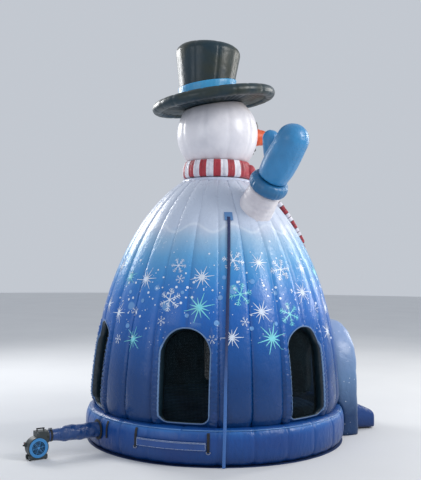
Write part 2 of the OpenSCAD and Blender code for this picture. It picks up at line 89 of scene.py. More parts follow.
def lin(r, g, b):
    """A screen colour, 0 to 255, as a linear shader colour."""
    def one(c):
        c /= 255
        return c / 12.92 if c <= 0.04045 else ((c + 0.055) / 1.055) ** 2.4
    return one(r), one(g), one(b), 1.0


# ---------------------------------------------------------------- camera
# Fitted to the photo's outline: where the camera stands, its lens in mm, and its pan, tilt and roll.
CAMERA_EYE = (-12.69, 4.62, 3.10)
CAMERA_LENS = 55.5
CAMERA_PAN, CAMERA_TILT, CAMERA_ROLL = 0.46, 1.7, 0.55


def make_camera():
    data = bpy.data.cameras.new("camera")
    data.sensor_fit = "VERTICAL"
    data.sensor_height = 36
    data.lens = CAMERA_LENS
    data.clip_end = 300
    cam = bpy.data.objects.new("camera", data)
    bpy.context.scene.collection.objects.link(cam)
    eye = Vector(CAMERA_EYE)
    ahead = Vector((-eye.x, -eye.y, 0)).normalized()
    ahead.rotate(Matrix.Rotation(rad(CAMERA_PAN), 3, "Z"))
    ahead = (ahead + Vector((0, 0, math.tan(rad(CAMERA_TILT))))).normalized()
    right = ahead.cross(Vector((0, 0, 1))).normalized()
    up = right.cross(ahead)
    turn = Matrix((right, up, -ahead)).transposed().to_4x4()
    cam.matrix_world = Matrix.Translation(eye) @ turn @ Matrix.Rotation(rad(CAMERA_ROLL), 4, "Z")
    bpy.context.scene.camera = cam


make_camera()


# ---------------------------------------------------------------- material nodes
class Shader:
    """A Principled material being put together; object coordinates are the frame's own at rest."""

    def __init__(self, name):
        self.mat = bpy.data.materials.new(name)
        self.mat.use_nodes = True
        self.tree = self.mat.node_tree
        self.tree.nodes.clear()
        self.out = self.new("ShaderNodeOutputMaterial")
        self.bsdf = self.new("ShaderNodeBsdfPrincipled")
        self.link(self.bsdf.outputs[0], self.out.inputs[0])
        self.coords = self.new("ShaderNodeTexCoord").outputs["Object"]
        split = self.new("ShaderNodeSeparateXYZ")
        self.link(self.coords, split.inputs[0])
        self.x, self.y, self.z = split.outputs

    def new(self, kind, **props):
        n = self.tree.nodes.new(kind)
        for k, v in props.items():
            setattr(n, k, v)
        return n

    def link(self, a, b):
        self.tree.links.new(a, b)

    def put(self, socket, value):
        if isinstance(value, bpy.types.NodeSocket):
            self.link(value, socket)
        else:
            socket.default_value = value

    def set(self, **values):
        for k, v in values.items():
            self.put(self.bsdf.inputs[k.replace("_", " ")], v)
        return self

    def math(self, op, a, b=0.0, c=0.0):
        n = self.new("ShaderNodeMath", operation=op)
        for s, v in zip(n.inputs, (a, b, c)):
            self.put(s, v)
        return n.outputs[0]

    def mix(self, t, a, b, blend="MIX"):
        n = self.new("ShaderNodeMix", data_type="RGBA", blend_type=blend)
        self.put(n.inputs["Factor"], t)
        self.put(n.inputs[6], a)
        self.put(n.inputs[7], b)
        return n.outputs[2]

    def remap(self, v, a, b, to_a=0.0, to_b=1.0, soft=True):
        n = self.new("ShaderNodeMapRange", interpolation_type="SMOOTHSTEP" if soft else "LINEAR")
        for s, x in zip(n.inputs, (v, a, b, to_a, to_b)):
            self.put(s, x)
        return n.outputs[0]

    def noise(self, scale, detail=3.0, rough=0.55, distortion=0.0, stretch=None):
        n = self.new("ShaderNodeTexNoise")
        where = self.coords
        if stretch:
            m = self.new("ShaderNodeMapping")
            m.inputs["Scale"].default_value = stretch
            self.link(where, m.inputs["Vector"])
            where = m.outputs[0]
        self.link(where, n.inputs["Vector"])
        n.inputs["Scale"].default_value = scale
        n.inputs["Detail"].default_value = detail
        n.inputs["Roughness"].default_value = rough
        n.inputs["Distortion"].default_value = distortion
        return n.outputs[0]

    def patches(self, scale, detail, low, high):
        """Noise in soft patches of 0 and 1, between the noise's values low and high."""
        return self.remap(self.noise(scale, detail), low, high)

    def rough(self, low, high, scale=6):
        """An uneven roughness between low and high."""
        return self.remap(self.noise(scale), 0.3, 0.7, low, high)

    def cells(self, scale):
        """The distance to the middle of the nearest of many cells."""
        n = self.new("ShaderNodeTexVoronoi", feature="F1")
        self.link(self.coords, n.inputs["Vector"])
        n.inputs["Scale"].default_value = scale
        return n.outputs["Distance"]

    def ramp(self, v, stops):
        n = self.new("ShaderNodeValToRGB")
        self.put(n.inputs[0], v)
        e = n.color_ramp.elements
        while len(e) < len(stops):
            e.new(0.5)
        for el, (p, c) in zip(e, stops):
            el.position = p
            el.color = c
        return n.outputs[0]

    def wave(self, v, period, phase=0.0):
        """A sine of v, from -1 to 1, that repeats every period."""
        return self.math("SINE", self.math("MULTIPLY_ADD", v, 2 * pi / period, phase))

    def around(self, x=0.0, y=0.0):
        """The direction round an upright axis at x, y, in turns from -0.5 to 0.5."""
        dx = self.math("SUBTRACT", self.x, x)
        dy = self.math("SUBTRACT", self.y, y)
        return self.math("DIVIDE", self.math("ARCTAN2", dy, dx), 2 * pi)

    def bump(self, height, strength=0.3, distance=0.01):
        n = self.new("ShaderNodeBump")
        n.inputs["Strength"].default_value = strength
        n.inputs["Distance"].default_value = distance
        self.put(n.inputs["Height"], height)
        self.link(n.outputs[0], self.bsdf.inputs["Normal"])
        return self


def vinyl(name, colour, dark=0.82, rough=(0.30, 0.46), wrinkle=0.5, stretch=(1, 1, 1), coat=0.25, weave=True):
    """Coated fabric under air pressure: a slightly uneven colour, soft wrinkles and a fine weave."""
    s = Shader(name)
    soil = s.noise(1.7, 4)
    shade = tuple(c * dark for c in colour[:3]) + (1,)
    s.set(Base_Color=s.mix(s.remap(soil, 0.35, 0.7), colour, shade),
          Roughness=s.rough(rough[0], rough[1]),
          Coat_Weight=coat, Coat_Roughness=0.22, IOR=1.48)
    folds = s.noise(3.2, 4, 0.6, 0.9, stretch)
    fine = s.noise(14, 2, 0.5, 0.5, stretch)
    height = s.math("MULTIPLY_ADD", fine, 0.25, folds)
    if weave:
        threads = s.math("MULTIPLY", s.wave(s.z, 0.004), s.wave(s.around(), 0.0004))
        height = s.math("MULTIPLY_ADD", threads, 0.004, height)
    return s.bump(height, wrinkle, 0.035).mat


def webbing(name, colour, pitch=0.004):
    s = Shader(name)
    ribs = s.math("MULTIPLY", s.wave(s.z, pitch), s.wave(s.math("ADD", s.x, s.y), pitch))
    s.set(Base_Color=s.mix(s.remap(ribs, -0.6, 0.8), tuple(c * 0.6 for c in colour[:3]) + (1,), colour),
          Roughness=s.rough(0.55, 0.75, 20))
    return s.bump(ribs, 0.4, 0.001).mat


def plastic(name, colour, rough=(0.35, 0.5), grain=0.0016, bump=0.12):
    s = Shader(name)
    dust = s.noise(11, 5)
    pale = tuple(c * 0.8 + 0.05 for c in colour[:3]) + (1,)
    s.set(Base_Color=s.mix(s.remap(dust, 0.45, 0.8), colour, pale),
          Roughness=s.remap(dust, 0.3, 0.7, rough[0], rough[1]), IOR=1.49)
    return s.bump(s.cells(1 / grain), bump, 0.0004).mat


def metal(name, colour, rough=(0.22, 0.42)):
    s = Shader(name)
    marks = s.noise(40, 4, 0.6, 0.2, (1, 1, 6))
    s.set(Base_Color=s.mix(s.remap(marks, 0.4, 0.75), colour, tuple(c * 0.55 for c in colour[:3]) + (1,)),
          Metallic=1.0, Roughness=s.remap(marks, 0.3, 0.7, rough[0], rough[1]))
    return s.bump(marks, 0.08, 0.0006).mat


# ---------------------------------------------------------------- mesh helpers
def make_piece(name, verts, faces, mats, slots=None, body="structure", replaces=()):
    """One piece from vertices and faces; slots gives each face's material."""
    me = bpy.data.meshes.new(name)
    me.from_pydata([tuple(v) for v in verts], [], faces)
    for m in mats if isinstance(mats, (list, tuple)) else [mats]:
        me.materials.append(m)
    if slots:
        me.polygons.foreach_set("material_index", slots)
    me.polygons.foreach_set("use_smooth", [True] * len(me.polygons))
    bm = bmesh.new()
    bm.from_mesh(me)
    bmesh.ops.remove_doubles(bm, verts=bm.verts, dist=1e-6)
    bmesh.ops.recalc_face_normals(bm, faces=bm.faces)
    bm.to_mesh(me)
    bm.free()
    ob = bpy.data.objects.new(name, me)
    bpy.context.scene.collection.objects.link(ob)
    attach(ob, body)
    if replaces:
        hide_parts(*replaces)
    return ob


def grid(rows, closed_u=False, closed_v=False):
    """Vertices and faces of a net of rows of points: u runs along a row, v from row to row."""
    nv, nu = len(rows), len(rows[0])
    verts = [p for r in rows for p in r]
    faces = []
    for j in range(nv if closed_v else nv - 1):
        for i in range(nu if closed_u else nu - 1):
            a, b = j * nu + i, j * nu + (i + 1) % nu
            c, d = ((j + 1) % nv) * nu + (i + 1) % nu, ((j + 1) % nv) * nu + i
            faces.append((a, b, c, d))
    return verts, faces


def capped(part, count):
    """Closes the first and the last ring of count points of a part with one face each."""
    verts, faces = part
    faces.append(tuple(range(count)))
    faces.append(tuple(reversed(range(len(verts) - count, len(verts)))))
    return part


def add_part(all_verts, all_faces, part):
    n = len(all_verts)
    all_verts += part[0]
    all_faces += [tuple(i + n for i in f) for f in part[1]]


def spun(profile, count, bend=None):
    """A closed body turned round Z from a profile of (r, z); bend may move a point (angle, r, z)."""
    rows = []
    for r, z in profile:
        row = []
        for i in range(count):
            a = 2 * pi * i / count
            rr, zz = bend(a, r, z) if bend else (r, z)
            row.append(Vector((rr * cos(a), rr * sin(a), zz)))
        rows.append(row)
    return grid(rows, closed_u=True)


def smooth_line(points, per):
    """A Catmull-Rom line through points, with per steps between each two."""
    pts = [Vector(p) for p in points]
    out = []
    for i in range(len(pts) - 1):
        p0, p1, p2 = pts[max(i - 1, 0)], pts[i], pts[i + 1]
        p3 = pts[min(i + 2, len(pts) - 1)]
        for k in range(per):
            t = k / per
            out.append(0.5 * ((2 * p1) + (p2 - p0) * t + (2 * p0 - 5 * p1 + 4 * p2 - p3) * t * t
                              + (3 * p1 - p0 - 3 * p2 + p3) * t ** 3))
    out.append(pts[-1])
    return out


# ---------------------------------------------------------------- the tether, a free strap
TETHER_ROUTE = [(168.5, 1.345, 3.85), (168, 1.445, 3.7), (167.4, 1.565, 3.5), (166.8, 1.69, 3.25),
                (166.3, 1.8, 3), (165.7, 1.91, 2.7), (165.25, 2.005, 2.4), (164.9, 2.08, 2.1),
                (164.6, 2.14, 1.8), (164.3, 2.185, 1.5), (164.1, 2.222, 1.2), (164, 2.25, 0.95),
                (163.9, 2.28, 0.75), (163.8, 2.308, 0.6), (163.7, 2.326, 0.45), (163.6, 2.33, 0.3),
                (163.5, 2.33, 0.15), (163.5, 2.33, 0.008)]
TETHER_W, TETHER_T = 0.050, 0.005


def make_tether():
    s = Shader("tether_webbing")
    rib = s.math("MULTIPLY", s.wave(s.z, 0.012), s.wave(s.math("ADD", s.x, s.y), 0.01))
    # the strap is paler towards the bottom, from z 1.9 down to 0.9
    paler_low_mask = s.remap(s.z, 1.9, 0.9)
    base = s.mix(paler_low_mask, lin(14, 38, 92), lin(66, 118, 190))
    s.set(Base_Color=s.mix(s.remap(rib, -0.7, 0.9), s.mix(0.45, base, lin(8, 20, 60)), base),
          Roughness=s.rough(0.5, 0.7, 12), Sheen_Weight=0.15)
    s.bump(rib, 0.4, 0.0012)
    route = [polar(a, r, z) for a, r, z in TETHER_ROUTE]
    line = smooth_line(route, 6)
    n = len(line)
    rows = []
    for i, p in enumerate(line):
        along = (line[min(i + 1, n - 1)] - line[max(i - 1, 0)]).normalized()
        out = Vector((p.x, p.y, 0)).normalized()
        side = along.cross(out).normalized()
        out = side.cross(along)
        turn = rad(38) * math.exp(-((p.z - 1.68) / 0.24) ** 2)
        side, out = side * cos(turn) + out * sin(turn), out * cos(turn) - side * sin(turn)
        rows.append([p + side * (TETHER_W / 2 * x) + out * (TETHER_T / 2 * y) for x, y in
                     ((-1, -0.4), (-0.85, -1), (0.85, -1), (1, -0.4), (1, 0.4), (0.85, 1), (-0.85, 1),
                      (-1, 0.4))])
    verts, faces = grid(rows, closed_u=True)
    capped((verts, faces), 8)
    ob = make_piece("tether_strap_web", verts, faces, s.mat, replaces=["tether_strap"])


make_tether()


# ---------------------------------------------------------------- dome
FOOT, DOME_R, DOME_H, POWER = 0.583, 2.230, 4.200, 1.8
NECK_R, WALL, WALL_TOP = 0.650, 0.210, 0.075
WINDOW_W, SILL, CROWN, CORNER = 0.800, 0.630, 2.070, 0.120
DOOR_HALF, DOOR_TOP = 0.430, 1.590
TUCK = 0.022  # how far the wall's foot is sewn down into the base ring
WINDOW_BAYS = {"dome_back": 90, "dome_right_rear": 147, "dome_right_front": 204, "dome_left_rear": 33,
               "dome_left_front": -24}


def dome_env(a, grow=0.0):
    return (DOME_R + grow) * cos(a) ** (2 / POWER), FOOT + (DOME_H + grow) * sin(a)


def dome_param(z):
    return math.asin(clamp((z - FOOT) / DOME_H, 0, 0.9999))


TOP_A = math.acos((NECK_R / DOME_R) ** (POWER / 2))


def bay_of(angle):
    """The bay that a direction in degrees falls in: its middle, its half width and its lobes' width."""
    for mid in WINDOW_BAYS.values():
        d = (angle - mid + 180) % 360 - 180
        if abs(d) <= 28.5:
            return d, 28.5, 14.25
    return (angle + 90 + 180) % 360 - 180, 37.5, 15.0


def lobe_across(angle):
    """Where a direction in degrees lies across its lobe, from -1 in one seam to 1 in the next."""
    d, half, lobe = bay_of(angle)
    return across((d + half) / lobe)


def lobe_shape(u):
    """How far a lobe falls back, from 0 on its ridge to 1 in the seam."""
    return 0.42 * u * u + 0.58 * abs(u) ** 7


def dome_point(angle, a, out=0.0):
    """The skin of the dome at a direction in degrees and a curve parameter, moved out along its normal."""
    d, half, lobe = bay_of(angle)
    r, z = dome_env(a)
    fall = lerp(0.062, 0.013, sin(a))
    u = across((d + half) / lobe)
    seam = abs(u)
    depth = fall * lobe_shape(u)
    ripple = 0.0035 * seam ** 5 * sin(z * 2 * pi / 0.085 + 40 * sin(rad(angle)))
    if lobe < 15:
        # beside a window each strip is a narrow ruched pillow between the window and its seam
        side = abs(r * sin(rad(d)))
        t = smooth((CROWN + 0.12 - z) / 0.30)
        if t > 0 and abs(d) < lobe:
            v = (side - 0.475) / 0.085
            strip = 0.044 * min(abs(v), 1.0) ** 4 if side > 0.39 else 0.05
            gather = 0.0095 * (1 - min(abs(v), 1) ** 4) * (
                sin(z * 2 * pi / 0.066 + d) + 0.6 * sin(z * 2 * pi / 0.041))
            depth = lerp(depth, strip, t)
            ripple = lerp(ripple, gather, t)
    foot = 0.075 * clamp(1 - (z - FOOT) / 0.24) ** 2
    swell = 0.010 * noise.noise(polar(angle, 3, 0.9 * z))
    back = depth + foot + 0.006 - ripple - swell
    dr = -(2 / POWER) * DOME_R * cos(a) ** (2 / POWER - 1) * sin(a)
    dz = DOME_H * cos(a)
    n = math.hypot(dr, dz)
    r += (out - back) * dz / n
    z += (out - back) * -dr / n
    return polar(angle, r, z)


def in_outline(y, z, grow=0.0):
    """Signed distance of a point to the window's outline: below 0 inside."""
    w, low, top = WINDOW_W / 2 + grow, SILL - grow, CROWN - WINDOW_W / 2
    if z > top:
        return math.hypot(y, z - top) - w
    c = CORNER + grow
    q = Vector((max(abs(y) - (w - c), 0), max(low + c - z, 0)))
    return q.length - c if q.x > 0 and q.y > 0 else max(abs(y) - w, low - z)


def in_door(y, z):
    top = DOOR_TOP - DOOR_HALF
    return math.hypot(y, z - top) - DOOR_HALF if z > top else abs(y) - DOOR_HALF


def pulled(dist, y, z):
    """The point of the outline that is nearest to y, z."""
    for _ in range(4):
        e = 0.0005
        gy = (dist(y + e, z) - dist(y - e, z)) / (2 * e)
        gz = (dist(y, z + e) - dist(y, z - e)) / (2 * e)
        n = math.hypot(gy, gz) or 1
        d = dist(y, z)
        y, z = y - d * gy / n, z - d * gz / n
    return y, z


def dome_material():
    """The printed dome: snow white at the shoulders, ice blue, then royal blue and navy at the foot."""
    s = Shader("dome_print_vinyl")
    drift = s.math("MULTIPLY", s.wave(s.around(), 0.083), 0.035)
    cloud = s.noise(0.9, 3)
    h = s.math("ADD", s.math("MULTIPLY_ADD", s.math("SUBTRACT", cloud, 0.5), 0.28, s.z), drift)
    t = s.remap(h, 0.58, 4.6, soft=False)

    def at(z):
        return (z - 0.58) / 4.02
    base = s.ramp(t, [(at(0.6), lin(3, 50, 102)), (at(1.3), lin(5, 60, 120)), (at(1.9), lin(14, 84, 160)),
                      (at(2.25), lin(26, 96, 178)), (at(2.6), lin(38, 114, 192)),
                      (at(2.9), lin(60, 138, 202)), (at(3.2), lin(96, 160, 208)),
                      (at(3.5), lin(150, 184, 214)), (at(3.7), lin(188, 200, 220)),
                      (at(4.4), lin(198, 206, 222))])
    # a snow line: a faint bright scalloped band under the white
    scallop = s.math("MULTIPLY", s.wave(s.around(), 1 / 14, 0.7), 0.07)
    line = s.math("ABSOLUTE", s.math("SUBTRACT", s.math("ADD", s.z, scallop), 3.66))
    base = s.mix(s.remap(line, 0.045, 0.0, 0, 0.35), base, lin(226, 234, 244))
    # soft discs of light, larger and paler low on the wall
    for scale, size, tint, share in ((2.1, 0.20, lin(150, 196, 232), 0.40),
                                     (1.35, 0.30, lin(110, 140, 206), 0.26)):
        c = s.cells(scale)
        on = s.math("GREATER_THAN", s.noise(0.8 * scale, 0), 0.5)
        disc = s.remap(c, size, size * 0.75, 0, share)
        fade = s.math("MULTIPLY", s.remap(s.z, 3.5, 3.0), s.remap(s.z, 2.05, 2.3))
        base = s.mix(s.math("MULTIPLY", s.math("MULTIPLY", disc, on), fade), base, tint)
    # fine snow
    snow = s.cells(16)
    flakes = s.remap(snow, 0.16, 0.10, 0, 0.75)
    patchy = s.math("GREATER_THAN", s.noise(9, 0), 0.56)
    flakes = s.math("MULTIPLY", s.math("MULTIPLY", flakes, patchy), s.remap(s.z, 1.5, 2.1))
    base = s.mix(s.math("MULTIPLY", flakes, s.remap(s.z, 3.7, 3.3)), base, lin(232, 240, 252))
    # lavender light in the folds low down
    lav = s.math("MULTIPLY", s.remap(s.noise(1.3, 4, 0.6, 1.2), 0.52, 0.74), s.remap(s.z, 2.2, 1.2, 0, 0.14))
    base = s.mix(lav, base, lin(84, 104, 184))
    s.set(Base_Color=base, Roughness=s.rough(0.26, 0.40, 5), Coat_Weight=0.1,
          Coat_Roughness=0.18, IOR=1.42)
    folds = s.math("MULTIPLY_ADD", s.noise(16, 2), 0.3, s.noise(3.4, 4, 0.6, 1.0, (1, 1, 0.7)))
    return s.bump(folds, 0.5, 0.035).mat


def reveal_material():
    s = Shader("window_reveal_painted_shade")
    # the near-black teal is painted shade: the darkness of the window's recess
    s.set(Base_Color=s.mix(s.noise(2.4, 3), lin(6, 24, 32), lin(22, 48, 62)),
          Roughness=s.rough(0.35, 0.5), Coat_Weight=0.2)
    return s.bump(s.noise(7, 3, 0.6, 1.0), 0.5, 0.03).mat


def inner_material():
    s = Shader("inner_vinyl")
    s.set(Base_Color=s.mix(s.patches(1.6, 3, 0.35, 0.65), lin(26, 44, 62), lin(16, 32, 48)),
          Roughness=s.rough(0.4, 0.55))
    return s.bump(s.noise(4, 3, 0.6, 0.8), 0.45, 0.03).mat


def make_wall(name, mid, half, dist, mats, columns, rows):
    """One bay of the wall as a closed skin round its air, with its opening snapped to the outline."""
    params = []
    for j in range(rows + 1):
        z_like = j / rows
        params.append(TOP_A * (0.62 * z_like + 0.38 * z_like ** 1.7))
    pts = [[[(-half + 2 * half * i / columns), params[j]] for i in range(columns + 1)]
           for j in range(rows + 1)]

    def yz(d, a):
        r, z = dome_env(a)
        return r * sin(rad(d)), z
    hole = [[False] * columns for _ in range(rows)]
    for j in range(rows):
        for i in range(columns):
            d = (pts[j][i][0] + pts[j + 1][i + 1][0]) / 2
            a = (pts[j][i][1] + pts[j + 1][i + 1][1]) / 2
            hole[j][i] = abs(d) < 20 and dist(*yz(d, a)) < 0
    def touching(j, i):
        return [hole[jj][ii] for jj in (j - 1, j) for ii in (i - 1, i)
                if 0 <= jj < rows and 0 <= ii < columns]
    for j in range(rows + 1):
        for i in range(columns + 1):
            near = touching(j, i)
            if any(near) and not all(near):
                y, z = yz(*pts[j][i])
                if j == 0:
                    y = math.copysign(DOOR_HALF, y)
                else:
                    y, z = pulled(dist, y, z)
                a = dome_param(z)
                pts[j][i] = [math.degrees(math.asin(clamp(y / dome_env(a)[0], -1, 1))), a]
    outer, inner = {}, {}
    verts = []
    for j in range(rows + 1):
        for i in range(columns + 1):
            near = touching(j, i)
            if near and all(near):
                continue
            d, a = pts[j][i]
            edge = 0.9999 if i in (0, columns) else 1
            p = dome_point(mid + d * edge, a)
            if j == 0:
                p.z -= TUCK
            outer[j, i] = len(verts)
            verts.append(p)
            back = lerp(WALL, WALL_TOP, sin(a) ** 2)
            r, z = dome_env(a)
            dr = -(2 / POWER) * DOME_R * cos(a) ** (2 / POWER - 1) * sin(a)
            dz = DOME_H * cos(a)
            n = math.hypot(dr, dz)
            rr, zz = r - back * dz / n, max(z + back * dr / n, FOOT)
            inner[j, i] = len(verts)
            verts.append(polar(mid + d, rr, zz - (TUCK if j == 0 else 0)))
    faces, slots = [], []
    for j in range(rows):
        for i in range(columns):
            if hole[j][i]:
                continue
            ring = [(j, i), (j, i + 1), (j + 1, i + 1), (j + 1, i)]
            faces.append(tuple(outer[k] for k in ring))
            slots.append(0)
            faces.append(tuple(inner[k] for k in reversed(ring)))
            slots.append(2)
            for k, (dj, di) in enumerate(((-1, 0), (0, 1), (1, 0), (0, -1))):
                jj, ii = j + dj, i + di
                border = not (0 <= jj < rows and 0 <= ii < columns)
                if border or hole[jj][ii]:
                    p, q = ring[k], ring[(k + 1) % 4]
                    faces.append((outer[q], outer[p], inner[p], inner[q]))
                    slots.append(0 if border else 1)
    return make_piece(name, verts, faces, mats, slots,
                      replaces=[name.replace("_skin", "")])


def make_dome():
    mats = [dome_material(), reveal_material(), inner_material()]
    for node, mid in WINDOW_BAYS.items():
        make_wall(node + "_skin", mid, 28.5, in_outline, mats, 112, 150)
    make_wall("dome_front_skin", -90, 37.5, in_door, mats, 120, 120)


make_dome()


def cap_material():
    s = Shader("cap_vinyl")
    s.set(Base_Color=s.mix(s.noise(2, 3), lin(206, 214, 232), lin(188, 198, 220)),
          Roughness=s.rough(0.32, 0.48), Coat_Weight=0.2)
    return s.bump(s.noise(5, 3, 0.6, 0.8), 0.4, 0.03).mat


def make_cap():
    def bend(a, r, z):
        u = across(a / (2 * pi) * 25)
        return r - 0.010 * lobe_shape(u) * (r / NECK_R), z
    profile = [(0.0, 4.42), (0.40, 4.42), (0.60, 4.41), (0.640, 4.45), (0.645, 4.52), (0.63, 4.57),
               (0.59, 4.592), (0.50, 4.597), (0.30, 4.598), (0.0, 4.599)]
    verts, faces = spun(profile[1:-1], 150, bend=bend)
    capped((verts, faces), 150)
    make_piece("dome_cap_skin", verts, faces, cap_material(), replaces=["dome_cap"])


make_cap()


# ---------------------------------------------------------------- the print's stars and flakes
def print_material(name, colour):
    s = Shader(name)
    s.set(Base_Color=s.mix(s.patches(9, 3, 0.4, 0.7), colour, tuple(c * 0.8 for c in colour[:3]) + (1,)),
          Roughness=s.rough(0.28, 0.42, 5), Coat_Weight=0.3, Coat_Roughness=0.18)
    return s.mat


class Print:
    """Flat figures laid on the dome's skin, each a strip of small faces that follows the lobes."""

    def __init__(self):
        self.verts, self.faces, self.slots = [], [], []

    def place(self, angle, z, x, y):
        a0 = dome_param(z)
        r, _ = dome_env(a0)
        dr = -(2 / POWER) * DOME_R * cos(a0) ** (2 / POWER - 1) * sin(a0)
        slope = math.hypot(dr, DOME_H * cos(a0))
        return dome_point(angle + math.degrees(x / r), clamp(a0 + y / slope, 0.02, TOP_A - 0.01), 0.0035)

    def strip(self, angle, z, p, q, w0, w1, tint):
        """A band from p to q in the figure's own plane, w0 wide at p and w1 at q."""
        p, q = Vector(p), Vector(q)
        steps = max(2, int((q - p).length / 0.022))
        side = Vector((p.y - q.y, q.x - p.x)).normalized()
        n = len(self.verts)
        for k in range(steps + 1):
            c = p.lerp(q, k / steps)
            w = lerp(w0, w1, k / steps) / 2
            for s in (-1, 1):
                e = c + side * (w * s)
                self.verts.append(self.place(angle, z, e.x, e.y))
        for k in range(steps):
            b = n + 2 * k
            self.faces.append((b, b + 1, b + 3, b + 2))
            self.slots.append(tint)

    def star(self, angle, z, size, tint, turn=0.0, rays=12):
        for k in range(rays):
            a = rad(turn + k * 360 / rays)
            long = size / 2 * (1 if k % 2 == 0 else 0.66)
            d = Vector((cos(a), sin(a)))
            self.strip(angle, z, d * 0.012, d * long, size * 0.055, size * 0.012, tint)
        self.disc(angle, z, 0, 0, size * 0.07, tint)

    def flake(self, angle, z, size, tint, turn=0.0):
        for k in range(6):
            a = rad(turn + k * 60)
            d = Vector((cos(a), sin(a)))
            self.strip(angle, z, d * 0.008, d * size / 2, size * 0.042, size * 0.03, tint)
            for at, out in ((0.45, 0.16), (0.68, 0.22), (0.86, 0.13)):
                root = d * (size / 2 * at)
                for s in (-1, 1):
                    b = Vector((cos(a + s * rad(52)), sin(a + s * rad(52))))
                    self.strip(angle, z, root, root + b * size / 2 * out * 1.5, size * 0.03, size * 0.02,
                               tint)
        self.disc(angle, z, 0, 0, size * 0.06, tint)

    def disc(self, angle, z, x, y, r, tint, sides=10):
        n = len(self.verts)
        self.verts.append(self.place(angle, z, x, y))
        for k in range(sides):
            t = 2 * pi * k / sides
            self.verts.append(self.place(angle, z, x + r * cos(t), y + r * sin(t)))
        for k in range(sides):
            self.faces.append((n, n + 1 + k, n + 1 + (k + 1) % sides))
            self.slots.append(tint)


WHITE, TEAL, PALE = 0, 1, 2
DISCS = [(116, 2.06, 0.040), (123, 2.47, 0.034), (130, 2.68, 0.044), (147, 2.27, 0.036), (162, 2.55, 0.040),
         (160.5, 2.16, 0.046), (176, 2.08, 0.034), (178, 2.80, 0.042), (190, 2.62, 0.038), (188, 2.14, 0.034),
         (203, 2.36, 0.040), (113, 2.60, 0.034), (144, 2.62, 0.030), (164, 2.86, 0.034), (60, 2.40, 0.042),
         (75, 2.62, 0.036), (-50, 2.55, 0.042), (-4, 2.45, 0.038), (18, 2.66, 0.034), (300, 2.70, 0.040)]
STARS = [(153, 2.86, 0.40, WHITE), (122, 2.82, 0.42, WHITE), (109, 2.85, 0.36, TEAL),
         (107, 2.25, 0.40, WHITE), (121, 1.86, 0.42, TEAL), (181, 2.33, 0.40, WHITE),
         (167, 1.94, 0.38, WHITE), (185, 1.92, 0.52, TEAL), (183, 3.10, 0.34, WHITE),
         (152.5, 2.39, 0.50, TEAL), (208, 2.62, 0.40, WHITE), (214, 3.02, 0.34, WHITE)]
FLAKES = [(138, 2.50, 0.38, WHITE), (169, 3.13, 0.36, WHITE), (196, 2.99, 0.38, WHITE),
          (171.5, 2.60, 0.38, TEAL), (196, 2.28, 0.38, TEAL), (140, 3.04, 0.26, WHITE),
          (135, 2.17, 0.16, WHITE), (119, 2.30, 0.16, WHITE), (111, 1.83, 0.16, WHITE),
          (158.5, 1.91, 0.15, WHITE), (173, 2.18, 0.15, WHITE), (142, 2.83, 0.15, WHITE),
          (218, 2.34, 0.16, WHITE)]


def make_print():
    pr = Print()
    for angle, z, size, tint in STARS:
        pr.star(angle, z, size, tint, turn=RNG.uniform(0, 30))
    for angle, z, size, tint in FLAKES:
        pr.flake(angle, z, size, tint, turn=RNG.uniform(0, 60))
    placed = [(a, z) for a, z, _, _ in STARS + FLAKES]
    for _ in range(900):
        angle, z = RNG.uniform(225, 455), RNG.uniform(1.75, 3.30)
        r = dome_env(dome_param(z))[0]
        low = abs(r * sin(rad(angle - 90))) < 0.62 and z < 2.25 and cos(rad(angle - 90)) > 0
        blocked = any(abs(r * sin(rad(angle - m))) < 0.66 and cos(rad(angle - m)) > 0 and z < 2.3
                      for m in WINDOW_BAYS.values())
        porch = abs(r * sin(rad(angle + 90))) < 1.0 and cos(rad(angle + 90)) > 0 and z < 2.3
        near = any(math.hypot(((angle - a + 180) % 360 - 180) * pi / 180 * r, z - h) < 0.43
                   for a, h in placed)
        if low or blocked or porch or near or len(placed) > 88:
            continue
        placed.append((angle, z))
        tint = TEAL if RNG.random() < 0.28 else WHITE
        if RNG.random() < 0.5:
            pr.star(angle, z, RNG.uniform(0.3, 0.46), tint, turn=RNG.uniform(0, 30))
        else:
            pr.flake(angle, z, RNG.choice((0.16, 0.34, 0.38)), tint, turn=RNG.uniform(0, 60))
    for angle, z, size in DISCS:
        pr.disc(angle, z, 0, 0, size, PALE, sides=28)
    for _ in range(420):
        angle, z = RNG.uniform(0, 360), RNG.triangular(1.7, 3.5, 2.7)
        r = dome_env(dome_param(z))[0]
        if any(abs(r * sin(rad(angle - m))) < 0.6 and cos(rad(angle - m)) > 0 and z < 2.25
               for m in list(WINDOW_BAYS.values()) + [-90]):
            continue
        pr.disc(angle, z, 0, 0, RNG.choice((0.008, 0.011, 0.016, 0.022)), WHITE, sides=8)
    make_piece("dome_print_figures", pr.verts, pr.faces,
               [print_material("print_white", lin(220, 232, 250)),
                print_material("print_teal", lin(120, 216, 226)),
                print_material("print_pale", lin(104, 158, 216))],
               pr.slots)


make_print()


# ---------------------------------------------------------------- windows
def skin_at(mid, y, z, out):
    """A point on the bay's skin over y, z of its window's plane."""
    a = dome_param(z)
    d = math.degrees(math.asin(clamp(y / dome_env(a)[0], -1, 1)))
    return dome_point(mid + d, a, out)


